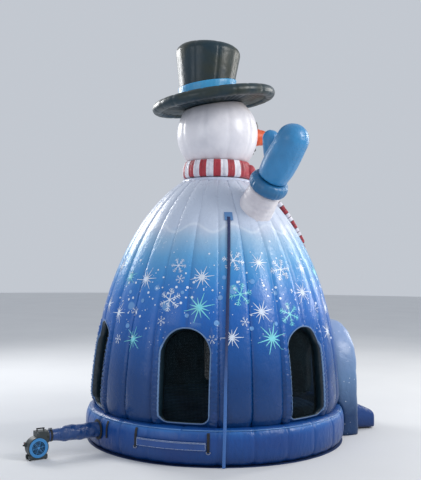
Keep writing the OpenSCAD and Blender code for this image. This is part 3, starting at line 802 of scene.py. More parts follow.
def outline_points(grow, count=150):
    """Points round the window's outline, grown by grow, evenly along it."""
    w, low, top, c = WINDOW_W / 2 + grow, SILL - grow, CROWN - WINDOW_W / 2, CORNER + grow
    line = [(w * cos(pi * k / 40), top + w * sin(pi * k / 40)) for k in range(41)]
    line += [(-w + c - c * cos(pi / 2 * k / 10), low + c - c * sin(pi / 2 * k / 10)) for k in range(11)]
    line += [(w - c + c * sin(pi / 2 * k / 10), low + c - c * cos(pi / 2 * k / 10)) for k in range(11)]
    line.append(line[0])
    lengths = [0.0]
    for p, q in zip(line, line[1:]):
        lengths.append(lengths[-1] + math.dist(p, q))
    out, j = [], 0
    for k in range(count):
        s = lengths[-1] * k / count
        while lengths[j + 1] < s:
            j += 1
        t = (s - lengths[j]) / max(lengths[j + 1] - lengths[j], 1e-9)
        out.append((lerp(line[j][0], line[j + 1][0], t), lerp(line[j][1], line[j + 1][1], t)))
    return out


def net_material():
    s = Shader("window_net_mesh")
    pitch = 0.022
    u = s.math("MULTIPLY", s.around(), 2 * pi * 2.15)
    threads = s.math("MAXIMUM", s.wave(u, pitch), s.wave(s.z, pitch))
    s.set(Base_Color=s.mix(s.patches(3, 3, 0.3, 0.7), lin(4, 12, 16), lin(8, 22, 28)),
          Roughness=s.remap(threads, -1, 1, 0.95, 0.8), Specular_IOR_Level=0.1,
          Alpha=s.remap(threads, 0.2, 0.75, 0.68, 0.96))
    return s.mat


def make_windows():
    net = net_material()
    trim = Shader("trim_webbing")
    ribs = trim.wave(trim.z, 0.012)
    trim.set(Base_Color=trim.mix(trim.remap(ribs, -1, 1), lin(70, 104, 150), lin(120, 150, 190)),
             Roughness=trim.rough(0.5, 0.7, 12))
    trim.bump(ribs, 0.3, 0.001)
    names = {90: "back", 147: "right_rear", 204: "right_front", 33: "left_rear", -24: "left_front"}
    verts, faces = [], []
    for mid, name in names.items():
        rings = []
        for grow, out in ((0.001, 0.002), (0.001, 0.008), (0.006, 0.0105), (0.016, 0.0105),
                          (0.021, 0.007), (0.021, 0.002)):
            rings.append([skin_at(mid, y, z, out) for y, z in outline_points(grow)])
        add_part(verts, faces, grid(rings, closed_u=True, closed_v=True))
        # the net: a stretched sheet that bellies in a little between its edges
        cols, rows = 30, 52
        nv, nf, index = [], [], {}
        for j in range(rows + 1):
            z = lerp(SILL + 0.004, CROWN - 0.004, j / rows)
            w = WINDOW_W / 2 - 0.004
            top = CROWN - WINDOW_W / 2
            if z > top:
                w = math.sqrt(max(w * w - (z - top) ** 2, 0.0001))
            elif z < SILL + CORNER:
                c = CORNER
                w = w - c + math.sqrt(max(c * c - (SILL + c - z) ** 2, 0))
            for i in range(cols + 1):
                y = lerp(-w, w, i / cols)
                a = dome_param(z)
                r, _ = dome_env(a)
                belly = 0.012 * sin(pi * i / cols) * sin(pi * j / rows)
                rr = r - 0.165 - belly + 0.0015 * sin(i * 2.1) * sin(j * 1.3)
                t = math.asin(clamp(y / rr, -1, 1))
                index[j, i] = len(nv)
                nv.append(Vector((rr * cos(rad(mid) + t), rr * sin(rad(mid) + t), z)))
        for j in range(rows):
            for i in range(cols):
                nf.append((index[j, i], index[j, i + 1], index[j + 1, i + 1], index[j + 1, i]))
        ob = make_piece("net_" + name + "_mesh", nv, nf, net, replaces=["net_" + name])
    make_piece("window_trim_bands", verts, faces, trim.mat, replaces=["window_trims"])


make_windows()


# ---------------------------------------------------------------- base
RING_MID_R, RING_W, RING_H, RING_Z = 2.130, 0.180, 0.290, 0.293
SHOULDER_Z, RING_PINCH = 0.548, 0.022
FLAP_FROM, FLAP_TO = 128.8, 156.8


def ring_out(z, grow=0.0):
    """Outer radius of the base ring's smooth form at height z."""
    t = clamp(abs(z - RING_Z) / (RING_H + grow), 0, 1)
    return RING_MID_R + (RING_W + grow) * (1 - t ** 3) ** (1 / 3)


def ring_material():
    s = Shader("ring_vinyl")
    t = s.remap(s.z, 0.0, 0.583, soft=False)
    # the ramp by height paints light and shade: darker towards the ground as painted shade, and the paler
    # band high on the shoulder, near z 0.5, as a painted highlight
    shade = s.ramp(t, [(0.0, lin(6, 46, 98)), (0.3, lin(7, 60, 124)), (0.72, lin(10, 70, 142)),
                       (0.84, lin(24, 86, 158)), (0.90, lin(40, 104, 174)), (0.95, lin(22, 80, 150)),
                       (1.0, lin(10, 66, 134))])
    cloud = s.noise(1.3, 4, 0.6, 0.6)
    s.set(Base_Color=s.mix(s.remap(cloud, 0.38, 0.7, 0, 0.5), shade, lin(16, 48, 112)),
          Roughness=s.rough(0.28, 0.44, 5), Coat_Weight=0.1, Coat_Roughness=0.2, IOR=1.42)
    folds = s.noise(4.5, 4, 0.62, 1.1, (1, 1, 0.35))
    fine = s.noise(19, 2, 0.5, 0.6, (1, 1, 0.4))
    return s.bump(s.math("MULTIPLY_ADD", fine, 0.3, folds), 0.55, 0.035).mat


def make_ring():
    count, sides = 720, 44
    rows = []
    for k in range(sides):
        t = 2 * pi * k / sides
        ct, st = cos(t), sin(t)
        row = []
        for i in range(count):
            a = 360 * i / count
            r = RING_MID_R + RING_W * spow(ct, 2 / 3)
            z = RING_Z + RING_H * spow(st, 2 / 3)
            outside = clamp(ct * 2)
            u = lobe_across(a)
            quiet = 1 - smooth(1 - abs((a - 142.8 + 180) % 360 - 180) / 15.5) if 125 < a < 160 else 1
            pinch = RING_PINCH * abs(u) ** 9 * quiet
            ridges = 0.0045 * (1 + noise.noise(Vector((a * 0.9, z * 3, 0)))) * quiet
            low = 0.010 * (1 + sin(rad(a) * 50)) * clamp(1 - z / 0.09) * outside
            r -= (pinch + ridges + 0.003) * outside
            z -= (0.014 * abs(u) ** 8 + 0.003) * clamp(st * 2 - 0.4)
            row.append(Vector(((r) * cos(rad(a)), r * sin(rad(a)), max(z + low * 0.5, 0.0035))))
        rows.append(row)
    verts, faces = grid(rows, closed_u=True, closed_v=True)
    make_piece("base_ring_skin", verts, faces, ring_material(), replaces=["base_ring"])
    # a sewn seam tape runs round the ring's shoulder
    verts, faces = [], []
    section = []
    for w, out in ((-0.007, -0.002), (-0.007, 0.003), (0.007, 0.003), (0.007, -0.002)):
        row = []
        for i in range(count):
            a = 360 * i / count
            u = lobe_across(a)
            r = ring_out(SHOULDER_Z + w) + out - RING_PINCH * abs(u) ** 9 - 0.004
            row.append(polar(a, r, SHOULDER_Z + w - 0.006 * abs(u) ** 6))
        section.append(row)
    add_part(verts, faces, grid(section, closed_u=True, closed_v=True))
    make_piece("base_ring_seam", verts, faces, vinyl("seam_tape", lin(78, 128, 190), wrinkle=0.2))


make_ring()


def make_sheet():
    s = Shader("ground_cloth")
    tarp = s.math("MULTIPLY", s.wave(s.x, 0.008), s.wave(s.y, 0.008))
    s.set(Base_Color=s.mix(s.patches(2, 4, 0.35, 0.7), lin(18, 42, 88), lin(26, 56, 104)),
          Roughness=s.rough(0.6, 0.8, 4))
    s.bump(tarp, 0.3, 0.001)
    rings = []
    for r in (0.0001, 0.7, 1.4, 1.9, 2.1, 2.24, 2.276):
        rings.append(circle(r, 0.0026, 180))
    rings.append(circle(2.279, 0.0012, 180))
    rings.append(circle(2.276, 0.0002, 180))
    verts, faces = grid(rings, closed_u=True)
    ob = make_piece("ground_sheet_cloth", verts, faces, s.mat, replaces=["ground_sheet"])


make_sheet()


def make_bounce_floor():
    s = Shader("floor_vinyl")
    s.set(Base_Color=s.mix(s.patches(1.5, 4, 0.35, 0.7), lin(70, 128, 196), lin(48, 98, 168)),
          Roughness=s.rough(0.35, 0.5), Coat_Weight=0.2)
    s.bump(s.noise(5, 3, 0.6, 0.8), 0.4, 0.03)
    n, r_max = 120, 1.945
    rows = []
    for j in range(61):
        r = 0.001 + r_max * j / 60
        row = []
        for i in range(n):
            a = 2 * pi * i / n
            x = r * cos(a)
            u = across(x / 0.30 + 0.5)
            drop = 0.035 * abs(u) ** 5 + 0.05 * smooth((r - 1.86) / 0.085)
            row.append(Vector((x, r * sin(a), 0.499 - drop)))
        rows.append(row)
    rows.append(circle(r_max, 0.02, n))
    rows.append(circle(0.001, 0.012, n))
    verts, faces = grid(rows, closed_u=True)
    make_piece("bounce_floor_skin", verts, faces, s.mat, replaces=["bounce_floor"])


make_bounce_floor()


# ---------------------------------------------------------------- entrance
ARCH_HALF, ARCH_Y, ARCH_TOP = 0.800, 2.510, 2.030


def printed_blue_with_painted_light(name, top, mid, low, z0, z1, coat=0.12):
    """A printed vinyl with fine snow, its colour ramped from darker at z0 to paler at z1. On the arch the
    ramp is painted light, paler on the top that faces up and shaded on the upright sides; on the step it
    darkens towards the ground.
    """
    s = Shader(name)
    cloud = s.math("MULTIPLY", s.math("SUBTRACT", s.noise(2.2, 4, 0.6, 0.8), 0.5), 0.35)
    t = s.remap(s.math("ADD", s.z, cloud), z0, z1, soft=False)
    base = s.ramp(t, [(0.0, low), (0.45, mid), (1.0, top)])
    snow = s.cells(15)
    base = s.mix(s.math("MULTIPLY", s.remap(snow, 0.16, 0.09, 0, 0.8),
                        s.math("GREATER_THAN", s.noise(8, 0), 0.55)), base, lin(236, 243, 252))
    s.set(Base_Color=base, Roughness=s.rough(0.28, 0.44, 5), Coat_Weight=coat,
          Coat_Roughness=0.2, IOR=1.42)
    folds = s.math("MULTIPLY_ADD", s.noise(17, 2), 0.3, s.noise(4, 4, 0.6, 1.0))
    return s.bump(folds, 0.55, 0.03).mat


def make_arch():
    spring = ARCH_TOP - ARCH_HALF
    path = [(ARCH_HALF + 0.08 - 0.08 * k / 14, spring * k / 14) for k in range(14)]
    path += [(ARCH_HALF * cos(pi * k / 36), spring + ARCH_HALF * sin(pi * k / 36)) for k in range(37)]
    path += [(-ARCH_HALF - 0.08 + 0.08 * k / 14, spring * k / 14) for k in reversed(range(14))]
    centre = []
    for x, z in path:
        inner_x = DOOR_HALF * (1 if x > 0 else -1)
        if z >= spring:
            ang = math.atan2(z - spring, x)
            top = DOOR_TOP - DOOR_HALF
            ix, iz = DOOR_HALF * cos(ang), top + DOOR_HALF * sin(ang)
        else:
            ix, iz = inner_x, z * (DOOR_TOP - DOOR_HALF) / spring
        centre.append(((x, z), (ix, iz)))
    rows = []
    sides = 40
    total = len(centre)
    for n, ((ox, oz), (ix, iz)) in enumerate(centre):
        cx, cz, hx, hz = (ox + ix) / 2, (oz + iz) / 2, (ox - ix) / 2, (oz - iz) / 2
        row = []
        puff = 0.012 * abs(sin(pi * n * 14 / total)) ** 0.5
        for k in range(sides):
            t = 2 * pi * k / sides
            ct, st = cos(t), sin(t)
            wide = spow(ct, 2 / 3.2)
            deep = spow(st, 2 / 3.2)
            x, z = cx + hx * wide * (1 - (0.012 - puff) * 1.5), cz + hz * wide * (1 - (0.012 - puff) * 1.5)
            z = max(z, 0.004)
            r = (max(dome_env(dome_param(max(z, FOOT)))[0] - 0.06, 0) if z > FOOT - 0.03
                 else ring_out(z) - 0.03)
            back = -math.sqrt(max(r * r - x * x, 0.5))
            mid_y, half_y = (back - ARCH_Y) / 2, (back + ARCH_Y) / 2
            y = mid_y + half_y * deep
            if deep < 0:
                y += (0.012 - puff)
            row.append(Vector((x, max(y, -ARCH_Y), z)))
        rows.append(row)
    verts, faces = grid(rows, closed_u=True)
    capped((verts, faces), sides)
    # the arch's paler top and darker sides are painted light and painted shade
    mat = printed_blue_with_painted_light("arch_print_and_painted_light_vinyl", lin(136, 160, 200), lin(96, 128, 168), lin(12, 52, 96), 0.35, 1.85)
    make_piece("porch_arch_skin", verts, faces, mat, replaces=["porch_arch"])
    # a stitched tape round the arch's outer face
    tape = webbing("arch_tape", lin(206, 220, 240))
    v, f = [], []
    ring = []
    for (ox, oz), (ix, iz) in centre:
        px, pz = lerp(ix, ox, 0.5), lerp(iz, oz, 0.5)
        ring.append(((px, pz), ((ox - ix), (oz - iz))))
    quad = [[], [], [], []]
    for (px, pz), (dx, dz) in ring:
        n = math.hypot(dx, dz)
        for k, (w, o) in enumerate(((-0.012, 0.004), (-0.012, -0.004), (0.012, -0.004), (0.012, 0.004))):
            quad[k].append(Vector((px + dx / n * w, -ARCH_Y + 0.004 + o, max(pz + dz / n * w, 0.005))))
    add_part(v, f, grid(quad, closed_v=True))
    make_piece("porch_arch_tape", v, f, tape)


make_arch()


def make_step():
    # a wedge cushion with rolled edges and sewn channels across it, and a tongue into the doorway
    mat = printed_blue_with_painted_light("step_vinyl", lin(24, 70, 136), lin(14, 58, 120), lin(8, 42, 92), 0.0, 0.6)
    verts, faces = [], []
    y0, y1, w = -2.514, -3.026, 0.527
    rows = []
    steps = 72
    for k in range(steps + 1):
        t = k / steps
        top = lerp(0.556, 0.328, t)
        end = min(t, 1 - t) * abs(y1 - y0)
        shrink = 0.05 * clamp(1 - end / 0.06) ** 2.2
        u = across(t * 5)
        top -= 0.016 * abs(u) ** 5 + shrink
        y = lerp(y0, y1, t)
        row = []
        sides = 48
        for i in range(sides):
            a = 2 * pi * i / sides
            ca, sa = cos(a), sin(a)
            x = (w - shrink * 0.8) * spow(ca, 2 / 6)
            z = top / 2 + (top / 2 - 0.004) * spow(sa, 2 / 6)
            row.append(Vector((x, y, max(z, 0.004))))
        rows.append(row)
    part = grid(rows, closed_u=True)
    capped(part, 48)
    add_part(verts, faces, part)
    rows = []
    for k in range(25):
        t = k / 24
        y = lerp(-2.15, -2.516, t)
        end = min(t, 1 - t) * 0.336
        shrink = 0.02 * clamp(1 - end / 0.05) ** 2
        row = []
        for i in range(40):
            a = 2 * pi * i / 40
            ca, sa = cos(a), sin(a)
            x = (DOOR_HALF - 0.006 - shrink) * spow(ca, 2 / 6)
            z = 0.55 + (0.032 - shrink * 0.6) * spow(sa, 2 / 4)
            row.append(Vector((x, y, z - 0.024)))
        rows.append(row)
    part = grid(rows, closed_u=True)
    capped(part, 40)
    add_part(verts, faces, part)
    ob = make_piece("entrance_step_pad", verts, faces, mat, replaces=["entrance_step"])


make_step()


# ---------------------------------------------------------------- head and face
HEAD_R, HEAD_H, HEAD_Z = 0.745, 0.740, 5.420
HAT_Z, HAT_BACK, HAT_TILT = 6.035, 0.080, 9.5
CROWN_LEAN, CROWN_OFF, CROWN_LOW = 12, 0.135, 0.101
HAT = Matrix.Translation((0, HAT_BACK, HAT_Z)) @ Matrix.Rotation(rad(-HAT_TILT), 4, "X")


def hat_height(x, y):
    """Height of the brim's middle plane over x, y."""
    n = HAT.to_3x3() @ Vector((0, 0, 1))
    return HAT_Z - (n.x * x + n.y * (y - HAT_BACK)) / n.z


def head_radius(z):
    return HEAD_R * math.sqrt(max(1 - ((z - HEAD_Z) / HEAD_H) ** 2, 0))


def make_head():
    s = Shader("head_vinyl")
    # painted shade: a warm grey at the top of the head under the brim, and a pinker grey low on the head over
    # the scarf
    painted_brim_shade = s.remap(s.z, 5.75, 5.98, 0, 0.4)
    neck = s.remap(s.z, 5.1, 4.8, 0, 0.5)
    base = s.mix(s.patches(2, 3, 0.35, 0.7), lin(230, 228, 234), lin(212, 211, 219))
    base = s.mix(painted_brim_shade, base, lin(222, 206, 200))
    base = s.mix(neck, base, lin(216, 198, 204))
    s.set(Base_Color=base, Roughness=s.rough(0.30, 0.44), Coat_Weight=0.3,
          Coat_Roughness=0.2, IOR=1.49, Subsurface_Weight=0.0)
    s.bump(s.math("MULTIPLY_ADD", s.noise(13, 2), 0.25, s.noise(2.6, 3, 0.55, 0.8)), 0.35, 0.03)
    def bend(a, r, z):
        u = across(a / (2 * pi) * 10 + 0.1)
        fall = 0.010 * abs(u) ** 6 + 0.004 * u * u
        wr = 0.004 * noise.noise(Vector((2 * cos(a), 2 * sin(a), z * 2)))
        return max(r - fall * (r / HEAD_R) + wr, 0.001), z
    profile = [(0.001, 4.605), (0.3, 4.604), (0.50, 4.606), (0.518, 4.63)]
    z0 = HEAD_Z - HEAD_H * math.sqrt(1 - (0.52 / HEAD_R) ** 2)
    profile += [(0.519, lerp(4.63, z0, k / 6)) for k in range(1, 6)]
    for k in range(61):
        z = lerp(z0, 6.02, k / 60)
        profile.append((head_radius(z) - 0.004, z))
    verts, faces = spun(profile, 160, bend=bend)
    # the crown of the head stops under the tilted brim
    for v in verts:
        limit = hat_height(v.x, v.y) - 0.103
        if v.z > limit:
            v.z = limit
    capped((verts, faces), 160)
    make_piece("head_skin", verts, faces, s.mat, replaces=["head"])


make_head()


def make_face():
    carrot = Shader("carrot_cloth")
    rings = carrot.wave(carrot.y, 0.085)
    carrot.set(Base_Color=carrot.mix(carrot.patches(7, 4, 0.35, 0.7), lin(226, 96, 48), lin(206, 74, 40)),
               Roughness=carrot.rough(0.4, 0.55, 9))
    carrot.bump(carrot.math("MULTIPLY_ADD", rings, 0.2, carrot.noise(12, 3)), 0.4, 0.012)
    rows = []
    count, steps = 56, 60
    z0 = HEAD_Z + 0.010
    for k in range(steps + 1):
        t = k / steps
        along = lerp(-0.02, 0.842, t)
        r = lerp(0.181, 0.026, t ** 0.93)
        if t > 0.955:
            r *= math.sqrt(max(1 - ((t - 0.955) / 0.045) ** 2, 0.0004))
        r -= 0.0055 * (0.5 + 0.5 * sin(along * 2 * pi / 0.105)) ** 3 * (1 - t * 0.5)
        row = []
        for i in range(count):
            a = 2 * pi * i / count
            rr = r * (1 + 0.02 * noise.noise(Vector((cos(a) * 1.5, sin(a) * 1.5, along * 5))))
            row.append(Vector((rr * cos(a), -0.705 - along, z0 + rr * sin(a))))
        rows.append(row)
    verts, faces = grid(rows, closed_u=True)
    capped((verts, faces), count)
    make_piece("nose_carrot", verts, faces, carrot.mat, replaces=["nose"])

    coal = Shader("coal_vinyl")
    coal.set(Base_Color=coal.mix(coal.noise(20, 3), lin(14, 14, 17), lin(34, 34, 38)),
             Roughness=coal.rough(0.28, 0.45, 14), Coat_Weight=0.3)
    coal.bump(coal.noise(18, 3), 0.3, 0.01)

    def pads(name, rows_in, depth, node):
        verts, faces = [], []
        for turn, z, radius in rows_in:
            mid = rad(-90 + turn)
            lift = math.asin(clamp((z - HEAD_Z) / HEAD_H, -1, 1))
            n = Vector((cos(lift) * cos(mid), cos(lift) * sin(mid), sin(lift))).normalized()
            c = Vector((head_radius(z) * cos(mid), head_radius(z) * sin(mid), z))
            u = Vector((-sin(mid), cos(mid), 0))
            w = n.cross(u)
            rings = []
            for k in range(9):
                t = pi / 2 * k / 8
                rr, hh = radius * max(cos(t), 0.02), depth * sin(t) - 0.012
                rings.append([c + (u * cos(2 * pi * i / 36) + w * sin(2 * pi * i / 36)) * rr + n * hh
                              for i in range(36)])
            part = grid(rings, closed_u=True)
            capped(part, 36)
            add_part(verts, faces, part)
        make_piece(name, verts, faces, coal.mat, replaces=[node])
    pads("eyes_buttons", [(-19, 5.61, 0.074), (19, 5.61, 0.074)], 0.034, "eyes")
    pads("mouth_buttons", [(i * 7.5, 5.09 + 0.018 * i * i, 0.035) for i in range(-2, 3)], 0.026,
         "mouth_coals")


make_face()


# ---------------------------------------------------------------- hat
def make_hat():
    felt = Shader("hat_vinyl")
    # the olive patches, placed by noise, are a painted highlight: the hat's broad olive gloss
    painted_gloss_mask = felt.remap(felt.noise(1.1, 3, 0.5, 0.4), 0.42, 0.62)
    felt.set(Base_Color=felt.mix(painted_gloss_mask, lin(10, 42, 54), lin(38, 46, 38)),
             Roughness=felt.rough(0.30, 0.44, 5), Coat_Weight=0.12, Coat_Roughness=0.3,
             IOR=1.46)
    felt.bump(felt.math("MULTIPLY_ADD", felt.noise(15, 2), 0.3, felt.noise(3, 4, 0.6, 0.8, (1, 1, 0.6))),
              0.45, 0.03)

    def gore(count, depth, power=7):
        def bend(a, r, z):
            u = across(a / (2 * pi) * count)
            return max(r - depth * abs(u) ** power, 0.001), z
        return bend
    # brim: a fat tube round a flat ruched web
    count, sides = 240, 40
    rows = []
    for k in range(sides):
        t = 2 * pi * k / sides
        row = []
        for i in range(count):
            a = 2 * pi * i / count
            u = across(a / (2 * pi) * 24)
            pucker = 0.010 * abs(u) ** 6 + 0.004 * (1 + sin(a * 120)) * (0.5 - 0.5 * cos(t))
            rr = 0.100 - pucker * 0.8
            row.append(Vector(((1.030 + rr * cos(t)) * cos(a), (1.030 + rr * cos(t)) * sin(a), rr * sin(t))))
        rows.append(row)
    verts, faces = grid(rows, closed_u=True, closed_v=True)
    web = []
    for r, z in ((0.05, 0.082), (0.48, 0.084), (0.60, 0.086), (0.70, 0.084), (0.80, 0.075), (0.90, 0.062),
                 (0.97, 0.050), (0.97, -0.050), (0.90, -0.062), (0.80, -0.076), (0.70, -0.086),
                 (0.60, -0.092), (0.48, -0.094), (0.05, -0.094)):
        web.append([Vector((r * cos(2 * pi * i / count), r * sin(2 * pi * i / count),
                            z - math.copysign(
                                0.020 * (0.5 + 0.5 * sin(2 * pi * i / count * 44
                                                         + 1.4 * sin(i * 0.31) + 5 * r)), z)
                            * smooth((r - 0.5) / 0.2)))
                    for i in range(count)])
    part = grid(web, closed_u=True)
    capped(part, count)
    add_part(verts, faces, part)
    ob = make_piece("hat_brim_skin", [HAT @ v for v in verts], faces, felt.mat,
                    replaces=["hat_brim"])
    # crown: eight gores that stand up against the brim's slope, flaring to a rounded top
    stand = (HAT @ Matrix.Translation((0, CROWN_OFF, CROWN_LOW)) @ Matrix.Rotation(rad(CROWN_LEAN), 4, "X")
             @ Matrix.Translation((0, 0, -CROWN_LOW)))
    to_hat = HAT.inverted() @ stand

    def crown_r(z):
        return 0.475 + 0.117 * (z - CROWN_LOW) / 0.761

    def cut(part, low, high):
        """Slides a body's points along their rays until they lie between two planes."""
        out = []
        for v in part:
            p = to_hat @ v
            if p.z < low or p.z > high:
                rise = ((low if p.z < low else high) - p.z) / cos(rad(CROWN_LEAN))
                r = math.hypot(v.x, v.y)
                grow = (crown_r(v.z + rise) - crown_r(v.z)) / max(r, 0.001)
                v = Vector((v.x * (1 + grow), v.y * (1 + grow), v.z + rise))
            out.append(stand @ v)
        return out
    profile = [(crown_r(z) - 0.004, z) for z in [0.001 + 0.861 * k / 44 for k in range(45)]]
    profile += quarter(0.442, 0.862, 0.146, 12, 13)
    profile += [(0.36, 1.016), (0.2, 1.022), (0.02, 1.024)]
    verts, faces = spun(profile, 160, bend=gore(8, 0.012))
    capped((verts, faces), 160)
    make_piece("hat_crown_skin", cut(verts, CROWN_LOW + 0.001, 9), faces, felt.mat,
               replaces=["hat_crown"])
    # band: a padded ribbon that follows the brim
    band = vinyl("hat_band_cloth", lin(60, 160, 214), dark=0.8, wrinkle=0.3)
    rows = [(0.0045, 0.001), (0.012, 0.001), (0.017, 0.012), (0.019, 0.05), (0.0195, 0.10),
            (0.0195, 0.15), (0.018, 0.196), (0.013, 0.209), (0.0045, 0.209)]
    ring = []
    for out, up in rows:
        line = []
        for i in range(160):
            a = 2 * pi * i / 160
            level = CROWN_LOW + up
            z = level
            for _ in range(6):
                r = crown_r(z) + out - 0.0025 * (0.5 + 0.5 * sin(a * 40)) * clamp(out / 0.01 - 0.5)
                p = Vector((r * cos(a), r * sin(a), z))
                z += (level - (to_hat @ p).z) / cos(rad(CROWN_LEAN))
            line.append(stand @ p)
        ring.append(line)
    verts, faces = grid(ring, closed_u=True, closed_v=True)
    make_piece("hat_band_ribbon", verts, faces, band, replaces=["hat_band"])


make_hat()


# ---------------------------------------------------------------- scarf
def knit(name, colour, other):
    s = Shader(name)
    rows = s.math("MULTIPLY", s.wave(s.math("MULTIPLY", s.around(), 2 * pi * 0.62), 0.030),
                  s.wave(s.z, 0.026))
    s.set(Base_Color=s.mix(s.patches(8, 4, 0.35, 0.7), colour, other),
          Roughness=s.rough(0.5, 0.68, 14), Sheen_Weight=0.2, Coat_Weight=0.08)
    return s.bump(s.math("MULTIPLY_ADD", s.noise(9, 3, 0.6, 0.8), 1.6, rows), 0.35, 0.008).mat


def make_scarf():
    red = knit("scarf_red", lin(176, 44, 58), lin(140, 30, 46))
    white = knit("scarf_white", lin(232, 230, 238), lin(206, 202, 214))
    line = knit("scarf_line", lin(70, 30, 42), lin(50, 24, 34))
    # band: red and white stripes stand upright round the neck
    count = 360
    profile = [(0.524, 4.606), (0.60, 4.606), (0.622, 4.625), (0.633, 4.665), (0.634, 4.72), (0.628, 4.79),
               (0.612, 4.85), (0.594, 4.892), (0.578, 4.908), (0.560, 4.906), (0.546, 4.872), (0.524, 4.822)]
    def bend(a, r, z):
        u = 2 * ((math.degrees(a) + 10) / 12 % 1) - 1
        return r - (0.010 * abs(u) ** 6 + 0.003 * (1 + sin(a * 41))) * clamp((r - 0.53) / 0.05), z
    verts, faces = spun(profile, count, bend=bend)
    m = len(profile)
    for i in range(count):
        faces.append((i, (i + 1) % count, (m - 1) * count + (i + 1) % count, (m - 1) * count + i))
    slots = []
    for f in faces:
        c = sum((verts[i] for i in f), Vector()) / len(f)
        turn = math.degrees(math.atan2(c.y, c.x))
        t = (turn - 160) % 24
        slots.append(0 if t < 6 or t > 18 or abs((turn + 270) % 360 - 180) < 66 else 1)
    ob = make_piece("scarf_band_cloth", verts, faces, [red, white], slots,
                    replaces=["scarf_band"])
    # knot: a wrapped roll over two lobes
    verts, faces = [], []
    for turn, cy, cz, rx, ry, rz in ((0, -0.640, 4.745, 0.105, 0.108, 0.122),
                                     (-17, -0.618, 4.742, 0.120, 0.104, 0.112),
                                     (17, -0.618, 4.742, 0.120, 0.104, 0.112),
                                     (-33, -0.612, 4.745, 0.115, 0.100, 0.122),
                                     (33, -0.612, 4.745, 0.115, 0.100, 0.122)):
        place = Matrix.Rotation(rad(turn), 3, "Z")
        rows = []
        for j in range(1, 24):
            p = pi * j / 24 - pi / 2
            row = []
            for i in range(48):
                a = 2 * pi * i / 48
                f = 1 - 0.05 * (0.5 + 0.5 * cos(a * 7 + j * 0.4))
                row.append(place @ Vector((rx * f * cos(p) * cos(a), cy + ry * f * cos(p) * sin(a),
                                           cz + rz * sin(p))))
            rows.append(row)
        part = grid(rows, closed_u=True)
        capped(part, 48)
        add_part(verts, faces, part)
    ob = make_piece("scarf_knot_cloth", verts, faces, red, replaces=["scarf_knot"])
    # tails: puffed strips down the front in blocks of red and white with fine dark lines between
    low, high, width = 3.440, 4.500, 0.270
    for name, x0 in (("scarf_tail_right", -0.275), ("scarf_tail_left", 0.005)):
        steps, sides = 108, 36
        rows = []
        for k in range(steps + 1):
            z = lerp(low, high, k / steps)
            a = dome_param(z)
            r, _ = dome_env(a)
            end = min(k, steps - k) / steps * (high - low)
            pinch = 1 - 0.35 * clamp(1 - end / 0.035) ** 2 - 0.05 * abs(sin((z - low) * pi / 0.1325)) ** 14
            row = []
            for i in range(sides):
                t = 2 * pi * i / sides
                ct, st = cos(t), sin(t)
                x = x0 + width / 2 + (width / 2 - 0.003) * spow(ct, 0.6) * (0.9 + 0.1 * pinch)
                out = 0.066 + 0.055 * pinch * spow(st, 0.75)
                dr = -(2 / POWER) * DOME_R * cos(a) ** (2 / POWER - 1) * sin(a)
                n = math.hypot(dr, DOME_H * cos(a))
                row.append(Vector((x, -(r + out * DOME_H * cos(a) / n), z - out * dr / n)))
            rows.append(row)
        verts, faces = grid(rows, closed_u=True)
        capped((verts, faces), sides)
        slots = []
        for n, f in enumerate(faces):
            k = n // sides if n < steps * sides else (0 if n == steps * sides else steps)
            along = (k + 0.5) / steps * (high - low)
            block = (along / 0.1325) % 1
            slots.append(2 if 0.45 < block < 0.53 or block < 0.07 else 0 if int(along / 0.1325) % 2 == 0
                         else 1)
        ob = make_piece(name + "_cloth", verts, faces, [red, white, line], slots,
                        replaces=[name])
    # fringe: soft tassels, red above and white at the tip
    verts, faces, slots = [], [], []
    for x0 in (-0.275, 0.005):
        for i in range(6):
            cx = x0 + 0.0225 + i * 0.045
            rows = []
            steps = 14
            for k in range(steps + 1):
                t = k / steps
                z = lerp(3.4385, 3.338, t)
                r, _ = dome_env(dome_param(z))
                w = 0.0165 * (1 if t < 0.85 else math.sqrt(max(1 - ((t - 0.85) / 0.16) ** 2, 0.05)))
                h = 0.022 * (1 if t < 0.85 else math.sqrt(max(1 - ((t - 0.85) / 0.16) ** 2, 0.05)))
                sway = 0.003 * sin(i * 2.3 + t * 3)
                rows.append([Vector((cx + sway + w * cos(2 * pi * j / 12),
                                     -(r + 0.055 + h * sin(2 * pi * j / 12)), z))
                             for j in range(12)])
            part = grid(rows, closed_u=True)
            capped(part, 12)
            add_part(verts, faces, part)
            slots += [0 if f < 12 * 7 else 1 for f in range(12 * steps)] + [0, 1]
    make_piece("scarf_fringe_tassels", verts, faces, [red, white], slots,
               replaces=["scarf_fringe"])


make_scarf()


# ---------------------------------------------------------------- arms
ARM_R, ARM_Z, ARM_LEAN, ARM_TURN = 1.500, 4.400, 42.0, 75.0


def arm_matrix(side):
    """The arm's frame: Z along the arm, -X towards the thumb; side is 1 on the left, -1 on the right."""
    m = Matrix.Rotation(rad(-90), 4, "Z")
    if side < 0:
        m = m @ Matrix.Diagonal((1, -1, 1, 1))
    return (m @ Matrix.Rotation(rad(ARM_TURN), 4, "Z") @ Matrix.Translation((ARM_R, 0, ARM_Z))
            @ Matrix.Rotation(rad(ARM_LEAN), 4, "Y"))


def remeshed(name, verts, faces, voxel, rounds):
    """Joins overlapping closed forms into one smooth skin."""
    me = bpy.data.meshes.new(name)
    me.from_pydata([tuple(v) for v in verts], [], faces)
    ob = bpy.data.objects.new(name, me)
    bpy.context.scene.collection.objects.link(ob)
    rm = ob.modifiers.new("join", "REMESH")
    rm.mode, rm.voxel_size = "VOXEL", voxel
    sm = ob.modifiers.new("soften", "SMOOTH")
    sm.factor, sm.iterations = 0.5, rounds
    done = bpy.data.meshes.new_from_object(ob.evaluated_get(bpy.context.evaluated_depsgraph_get()))
    out = [v.co.copy() for v in done.vertices], [tuple(p.vertices) for p in done.polygons]
    bpy.data.objects.remove(ob)
    return out


